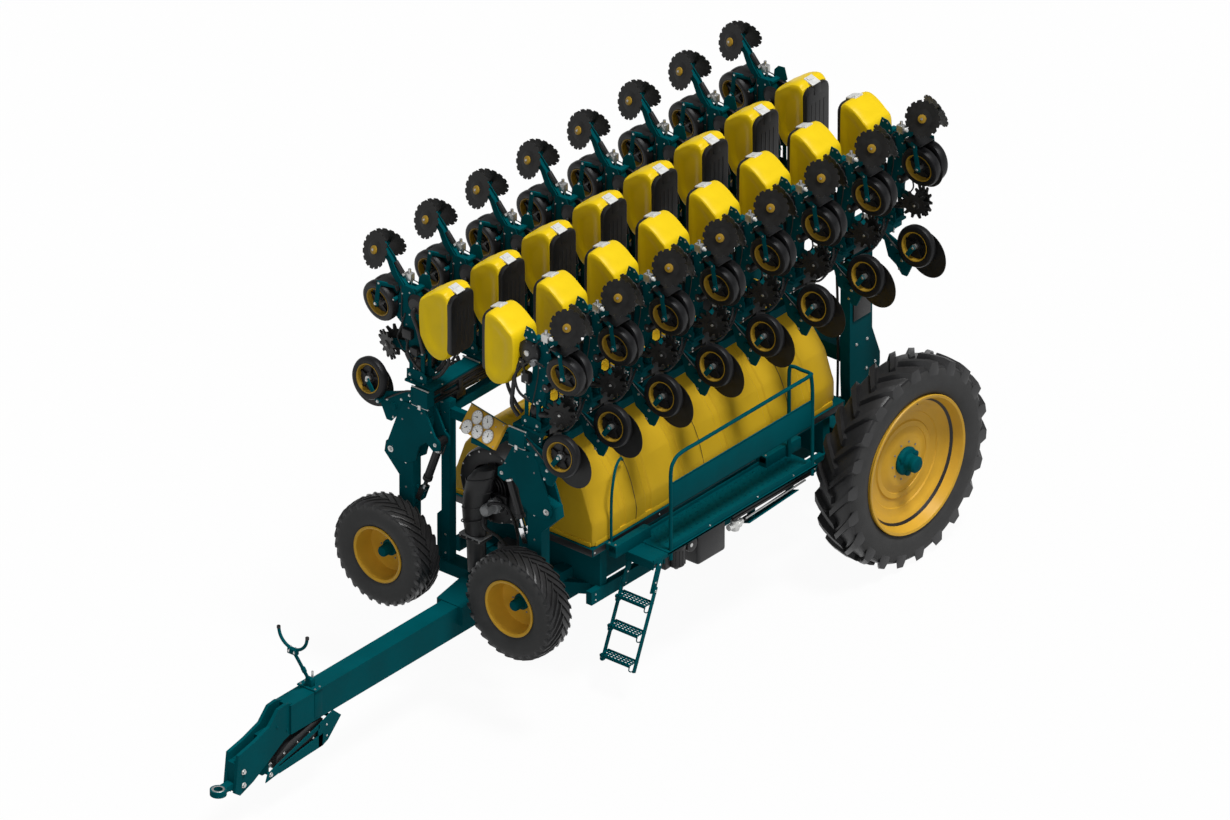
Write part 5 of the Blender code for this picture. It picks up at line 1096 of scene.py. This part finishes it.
def pump_looks():
    """The covered pump under the platform, with its ribbed filter and hoses."""
    kit = Kit()
    under = 1.3895
    kit.grow("black", cube((0.318, 0.418, 0.365)), Matrix.Translation((1.13, -2.57, 1.2045)), 0.035, 4)
    kit.many("box", "black",
             ((1.284, 1.29), (-2.745, -2.395), (1.06, 1.35), 0.003),
             ((0.995, 1.265), (-2.781, -2.776), (1.06, 1.35), 0.002),
             ((1.02, 1.24), (-3.16, -2.8), (1.24, under), 0.03, 3),
             ((1.06, 1.22), (-3.19, -3.1), (1.12, 1.27), 0.02, 3))
    kit.rod("black", (1.17, -2.86, 1.29), (1.288, -2.86, 1.29), 0.075, 20, 0.012)
    kit.rod("zinc", (1.284, -2.885, 1.3), (1.297, -2.885, 1.3), 0.022, 12, 0.004)
    x, y = 1.215, -3.02
    kit.lathe("black", [(0.0, -0.005), (0.055, 0.0), (0.082, 0.02), (0.088, 0.06), (0.088, 0.2),
                        (0.095, 0.215), (0.095, 0.245), (0.08, 0.26), (0.0, 0.262)], (x, y, 1.105),
              (0, 0, 1), 32)
    for c, s in circle(14):
        rib_x, rib_y = x + 0.088 * c, y + 0.088 * s
        kit.rod("black", (rib_x, rib_y, 1.14), (rib_x, rib_y, 1.3), 0.006, 6)
    kit.rod("black", (x, y, 1.14), (x, y, 1.075), 0.022, 12, 0.003)
    kit.tube("hose", [(1.1, -3.1, 1.3), (1.07, -3.2, 1.28), (1.02, -3.24, 1.2), (0.95, -3.2, 1.12),
                      (0.9, -3.05, 1.1)], 0.022, 10)
    kit.tube("hose", [(1.05, -2.38, 1.26), (1.03, -2.28, 1.25), (1.0, -2.12, 1.28), (0.96, -1.95, 1.34)],
             0.022, 10)
    show_kit(kit, "pump_looks", "chassis", "pump_box")


def hose_stand_looks():
    """The leaning post on the drawbar, with the round hook that carries the hoses."""
    kit = Kit()
    top, hook_y, hook_z, radius = 1.0903, -7.27, 1.79, 0.175
    kit.box("teal", (-0.118, 0.118), (-7.078, -6.962), (top, top + 0.016), 0.003)
    kit.box("teal", (-0.04, 0.04), (-7.048, -6.992), (top + 0.012, top + 0.095), 0.004)
    for x in (-0.09, 0.09):
        for y in (-7.055, -6.985):
            kit.bolt((x, y, top + 0.016), (0, 0, 1), 0.01)
        kit.box("teal", (x * 1.12, x * 1.17), (-7.075, -6.965), (0.8, top + 0.01), 0.002)
    kit.rod("teal", (0, -7.02, top + 0.05), (0, hook_y, 1.6), 0.0175, 18, 0.002)
    kit.rod("zinc", (0.0, -6.985, top + 0.06), (0.0, -6.985, top + 0.155), 0.012, 12, 0.003)
    kit.rod("teal", (0, -7.1, top + 0.2), (0, -7.125, top + 0.25), 0.024, 16, 0.003)
    for x in (-0.03, 0.03):
        kit.tube("zinc", [(x, hook_y + 0.01, 1.55), (x, hook_y - 0.03, 1.592), (x, hook_y + 0.01, 1.64)],
                 0.005, 6, 3)
    kit.box("teal", (-0.055, 0.055), about(hook_y, 0.024), (1.562, 1.622), 0.006)
    for x in (-0.035, 0.035):
        kit.bolt((x, hook_y - 0.024, 1.592), (0, -1, 0), 0.009)
    points = [(radius * math.cos(a), hook_y, hook_z + radius * math.sin(a))
              for a in (math.pi + math.pi * s / 10 for s in range(11))]
    points = [(-radius - 0.004, hook_y, hook_z + 0.012)] + points[1:-1] + [(radius + 0.004, hook_y,
                                                                            hook_z + 0.012)]
    kit.tube("teal", points, 0.0165, 12, 4)
    for x in (-1, 1):
        kit.lathe("black", [(0.0, -0.004), (0.018, -0.004), (0.0195, 0.0), (0.0195, 0.02)],
                  (x * (radius + 0.003), hook_y, hook_z + 0.012), (0, 0, -1), 14)
    show_kit(kit, "hose_stand_looks", "chassis", "hose_stand")


# ---------------------------------------------------------------- fittings on CAD pieces that stay shown
def soften(name):
    """A shown CAD node gets its enamel and slightly rounded edges."""
    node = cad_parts[name]
    node.data.materials.clear()
    node.data.materials.append(PAINTS[SHOWN[name]][0])
    for face in node.data.polygons:
        face.material_index = 0
    round_edges = node.modifiers.new("round", "BEVEL")
    round_edges.width = 0.006
    round_edges.segments = 2
    round_edges.limit_method = "ANGLE"
    round_edges.angle_limit = math.radians(40)
    round_edges.harden_normals = False


SHOWN = {"drawbar": "teal", "main_frame": "teal", "hitch_ring": "teal", "lift_frame": "teal",
         "left_wing_leg": "teal", "right_wing_leg": "teal",
         "left_ram_barrel": "black", "right_ram_barrel": "black",
         "left_ram_rod": "chrome", "right_ram_rod": "chrome"}


def jack_looks():
    """The parking leg: side plates framing its screw, folded up under the hitch head."""
    kit = Kit()
    for side in (-1, 1):
        x = (side * 0.09, side * 0.1024)
        for line in ([(-7.8, 0.41), (-7.765, 0.495), (-7.6, 0.545), (-7.6, 0.435)],
                     [(-7.6, 0.428), (-7.6, 0.5), (-6.95, 0.59), (-6.96, 0.452)],
                     [(-7.6, 0.52), (-7.6, 0.545), (-7.18, 0.66), (-7.0, 0.705), (-7.0, 0.66),
                      (-7.2, 0.605)], [(-7.02, 0.455), (-7.02, 0.7), (-6.8, 0.774), (-6.682, 0.67),
                                       (-6.88, 0.482), (-6.96, 0.452)]):
            kit.plate("teal", line, "X", x, 0.002)
        kit.bolt((side * 0.1024, -7.73, 0.475), (side, 0, 0), 0.022)
        for y, z in ((-7.1, 0.6), (-6.9, 0.66), (-6.9, 0.54)):
            kit.bolt((side * 0.1024, y, z), (side, 0, 0), 0.009)
    kit.box("teal", (-0.04, 0.04), (-7.78, -7.68), (0.46, 0.685), 0.004)
    kit.plate("black", [(-7.62, 0.47), (-7.6, 0.6), (-7.4, 0.69), (-7.1, 0.75), (-6.92, 0.73),
                        (-6.92, 0.53)], "X", (-0.075, 0.075), 0.004)
    for y in (-7.5, -7.3, -7.12):
        kit.bolt((0.076, y, 0.6 + (y + 7.5) * 0.15), (1, 0, 0), 0.011)
    kit.rod("black", (0, -7.6, 0.505), (0, -7.02, 0.6), 0.062, 22, 0.006)
    kit.rod("black", (0, -7.55, 0.515), (0, -7.5, 0.525), 0.07, 22, 0.004)
    kit.rod("zinc", (0, -7.68, 0.49), (0, -7.58, 0.508), 0.026, 16)
    for y, z in ((-7.7, 0.455), (-6.93, 0.6), (-6.78, 0.68)):
        kit.rod("teal", (-0.092, y, z), (0.092, y, z), 0.018, 14)
    kit.box("teal", (-0.09, 0.09), (-6.97, -6.9), (0.47, 0.66), 0.004)
    show_kit(kit, "jack_looks", "parking_leg", "parking_jack")


def frame_fittings():
    """Bolts, hoses, clamps and rams on the frame and the drawbar."""
    kit = Kit()
    for side in (-1, 1):
        x = side * 0.078
        for y, z in ((-8.1, 0.515), (-8.1, 0.66)):
            kit.bolt((x, y, z), (side, 0, 0), 0.026)
        for y, z in ((-7.6, 0.93), (-7.46, 0.84)):
            kit.rod("teal", (x, y, z), (x + side * 0.008, y, z), 0.012, 10)
        for y in (-3.8, -3.35, -2.6, -1.9, -1.2, -0.5):
            for z in (0.94, 1.0):
                kit.bolt((side * 0.86, y, z), (side, 0, 0), 0.009)
        for y in (-3.87, -2.9, -1.6, -0.6):
            kit.bolt((side * 0.89, y + 0.02, 1.49), (side, 0, 0), 0.009)
        # mast foot and posts
        for z in (1.25, 1.45, 2.6, 2.8):
            kit.bolt((side * 0.485, -4.43, z), (0, -1, 0), 0.011)
        kit.box("teal", (side * 0.425, side * 0.545), (-4.44, -4.43), (2.8, 2.912), 0.003)
    kit.lathe("zinc", [(0.0452, -0.0305), (0.0452, 0.0315), (0.06, 0.0335), (0.066, 0.0305)],
              (0, -8.38, 0.537), (0, 0, 1), 32)
    for n, x in enumerate((-0.05, 0.0, 0.05)):
        kit.tube("hose", [(x, -4.62, 1.17), (x + 0.01, -4.5, 1.2), (x + 0.03, -4.3, 1.21),
                          (x + 0.02, -4.05, 1.2)], 0.012, 8, 5)
    kit.box("black", (-0.885, 0.885), (-3.885, -3.862), (1.452, 1.528), 0.006)
    for side in (-1, 1):
        kit.box("black", (side * 0.878, side * 0.8905), (-3.87, -0.1), (1.455, 1.527), 0.004)
    # hydraulic block and pipes under the tank's front
    kit.box("black", (-0.18, 0.16), (-4.02, -3.88), (1.16, 1.3), 0.01)
    for n in range(4):
        x = -0.14 + n * 0.08
        kit.rod("zinc", (x, -4.03, 1.22), (x, -4.06, 1.22), 0.014, 10)
        kit.tube("hose", [(x, -4.05, 1.22), (x, -4.12, 1.2), (x + 0.02, -4.22, 1.195)], 0.01, 8, 4)
    # axle pipes and lift ram details
    for side in (-1, 1):
        kit.rod("black", (side * 0.44, -0.62, 1.25), (side * 0.44, 0.02, 1.4), 0.052, 20, 0.006)
        kit.rod("chrome", (side * 0.44, 0.0, 1.395), (side * 0.44, 0.235, 1.45), 0.026, 16)
        kit.box("teal", (side * 0.4, side * 0.48), (-0.7, -0.56), (1.135, 1.3), 0.01)
        for y in (-0.07, 0.07):
            kit.tube("zinc", [(side * 0.55, y * 1.6, 0.97), (side * 0.55, y * 1.62, 1.08),
                              (side * 0.55, y * 1.6, 1.19)], 0.008, 6, 2)
    show_kit(kit, "frame_fittings", "chassis")


def lift_fittings():
    """Bolts, pins and hoses on the lift frame."""
    kit = Kit()
    for side in (-1, 1):
        for y, z in ((0.28, 2.8), (0.46, 2.8), (0.28, 2.6), (0.46, 2.6), (0.3, 1.92), (0.46, 1.92),
                     (0.45, 1.6), (0.58, 1.62), (0.28, 1.3), (0.42, 1.24)):
            kit.bolt((side * 0.72, y, z), (side, 0, 0), 0.014)
        kit.rod("zinc", (side * 0.719, 0.35, 1.02), (side * 0.744, 0.35, 1.02), 0.062, 24, 0.004)
        kit.box("black", (side * 0.735, side * 0.724), (0.24, 0.5), (2.2, 2.42), 0.004)
        kit.rod("zinc", (side * 0.6, 0.595, 3.15), (side * 0.6, 0.595, 3.168), 0.05, 20, 0.004)
        ring_of_bolts(kit, (side * 0.6, 0.595, 3.16), (0, 0, 1), 0.03, 4, 0.006)
        kit.tube("hose", [(side * 0.46, 0.16, 2.96), (side * 0.47, 0.19, 3.1), (side * 0.44, 0.3, 3.17),
                          (side * 0.36, 0.3, 3.17), (side * 0.2, 0.3, 3.15), (side * 0.05, 0.3, 3.135)],
                 0.016, 8, 5)
        kit.tube("hose", [(side * 0.55, 0.22, 1.3), (side * 0.58, 0.19, 1.7), (side * 0.58, 0.185, 2.3),
                          (side * 0.55, 0.2, 2.8)], 0.013, 8, 5)
    kit.box("teal", (-0.1, 0.1), (0.235, 0.255), (2.9, 3.12), 0.004)
    kit.box("black", (-0.07, 0.07), (0.405, 0.47), (2.94, 3.06), 0.01)
    for x in (-0.07, 0.07):
        for z in (2.93, 3.09):
            kit.bolt((x, 0.235, z), (0, -1, 0), 0.012)
    show_kit(kit, "lift_fittings", "lift")


def leg_fittings():
    """Bolts and pins on each wing's leg, and the collars and hose of its ram's barrel."""
    for side, hand in SIDES.items():
        kit = Kit()
        for z in (2.22, 1.95, 1.6, 1.45):
            kit.bolt((hand * 0.8, -4.64, z), (0, -1, 0), 0.01)
        kit.rod("teal", (hand * WING_X, -4.64, WING_Z), (hand * WING_X, -4.668, WING_Z), 0.092, 28, 0.004)
        kit.box("teal", (hand * 0.72, hand * 0.88), (-4.648, -4.638), (1.25, 1.5), 0.004)
        kit.rod("zinc", (hand * RAM_FOOT_X, -4.606, RAM_FOOT_Z), (hand * RAM_FOOT_X, -4.554, RAM_FOOT_Z),
                0.016, 14, 0.002)
        show_kit(kit, f"{side}_leg_fittings", f"{side}_leg")
        kit = Kit()
        top = Vector((hand * RAM_TOP_X, -4.58, RAM_TOP_Z))
        foot = Vector((hand * RAM_FOOT_X, -4.58, RAM_FOOT_Z))
        along = (foot - top).normalized()
        end = top + along * 0.5
        kit.rod("black", end - along * 0.045, end, 0.048, 24, 0.004)
        kit.rod("zinc", top - Vector((0, 0.061, 0)), top + Vector((0, 0.061, 0)), 0.03, 20, 0.003)
        kit.rod("zinc", top + along * 0.09, top + along * 0.11, 0.0435, 24)
        kit.tube("hose", [top + along * 0.1 + Vector((-hand * 0.04, 0, 0)),
                          top + along * 0.16 + Vector((-hand * 0.075, 0.0, 0.02)),
                          top + along * 0.08 + Vector((-hand * 0.085, 0.0, 0.05))], 0.008, 6, 4)
        show_kit(kit, f"{side}_barrel_fittings", f"{side}_barrel")


# ---------------------------------------------------------------- stage: floor, light and camera
def seen_by(tree, *rays):
    """1 on the named kinds of ray and 0 on the others."""
    path = add_node(tree, "LightPath")
    seen = path.outputs[f"Is {rays[0]} Ray"]
    for ray in rays[1:]:
        either = {0: seen, 1: path.outputs[f"Is {ray} Ray"]}
        seen = add_node(tree, "Math", sources=either, operation="MAXIMUM").outputs["Value"]
    return seen


def lay_floor():
    """A grey floor for shadows and bounces, which the camera sees nearly white."""
    bpy.ops.mesh.primitive_plane_add(size=400, location=(0, 0, -0.002))
    floor = bpy.context.active_object
    floor.name = "floor"
    made = bpy.data.materials.new("floor_pale")
    made.use_nodes = True
    tree = made.node_tree
    grey = feed(tree, tree.nodes["Principled BSDF"], {"Base Color": FLOOR_GREY,
                                                      "Roughness": 0.9}).outputs["BSDF"]
    glow = add_node(tree, "Emission", {"Strength": FLOOR_GLOW}).outputs["Emission"]
    part = add_node(tree, "Math", {1: FLOOR_WHITE}, {0: seen_by(tree, "Camera", "Glossy", "Transmission")},
                    operation="MULTIPLY").outputs["Value"]
    mix = add_node(tree, "MixShader", sources={0: part, 1: grey, 2: glow}).outputs["Shader"]
    feed(tree, tree.nodes["Material Output"], sources={"Surface": mix})
    floor.data.materials.append(made)


def hang_sky(scene):
    """A pale blue light from all round, which the camera sees as plain white."""
    scene.world = bpy.data.worlds.new("studio")
    scene.world.use_nodes = True
    tree = scene.world.node_tree
    light = feed(tree, tree.nodes["Background"], {"Color": SKY_COLOUR,
                                                  "Strength": SKY}).outputs["Background"]
    white = add_node(tree, "Background", {"Color": (1, 1, 1, 1), "Strength": 1.0}).outputs["Background"]
    seen = seen_by(tree, "Camera", "Transmission")
    mix = add_node(tree, "MixShader", sources={0: seen, 1: light, 2: white}).outputs["Shader"]
    feed(tree, tree.nodes["World Output"], sources={"Surface": mix})


def stage():
    """Floor, sky, suns and the camera, which looks from the photograph's side."""
    scene = bpy.context.scene
    lay_floor()
    hang_sky(scene)
    for name, way, energy, angle in SUNS:
        sun = bpy.data.lights.new(name, "SUN")
        sun.energy = energy
        sun.angle = math.radians(angle)
        lamp = bpy.data.objects.new(name, sun)
        scene.collection.objects.link(lamp)
        lamp.rotation_mode = "QUATERNION"
        lamp.rotation_quaternion = Vector(way).to_track_quat("Z", "Y")
    data = bpy.data.cameras.new("camera")
    camera = bpy.data.objects.new("camera", data)
    scene.collection.objects.link(camera)
    scene.camera = camera
    data.lens = LENS
    data.sensor_width = SENSOR
    camera.location = VIEW_TARGET + VIEW_WAY * (WIDE * LENS / SENSOR)
    camera.rotation_mode = "QUATERNION"
    camera.rotation_quaternion = (-VIEW_WAY).to_track_quat("-Z", "Y")
    data.clip_start, data.clip_end = 1.0, 2000.0
    scene.view_settings.view_transform = "Standard"


for wheel_side in SIDES:
    road_wheel(wheel_side)
    wing_wheel(wheel_side)
    wing(wheel_side)
place_rows()
tank_looks()
fan_looks()
panel_looks()
walkway_looks()
ladder_looks()
pump_looks()
hose_stand_looks()
jack_looks()
frame_fittings()
lift_fittings()
leg_fittings()
for shown_name in SHOWN:
    soften(shown_name)
stage()
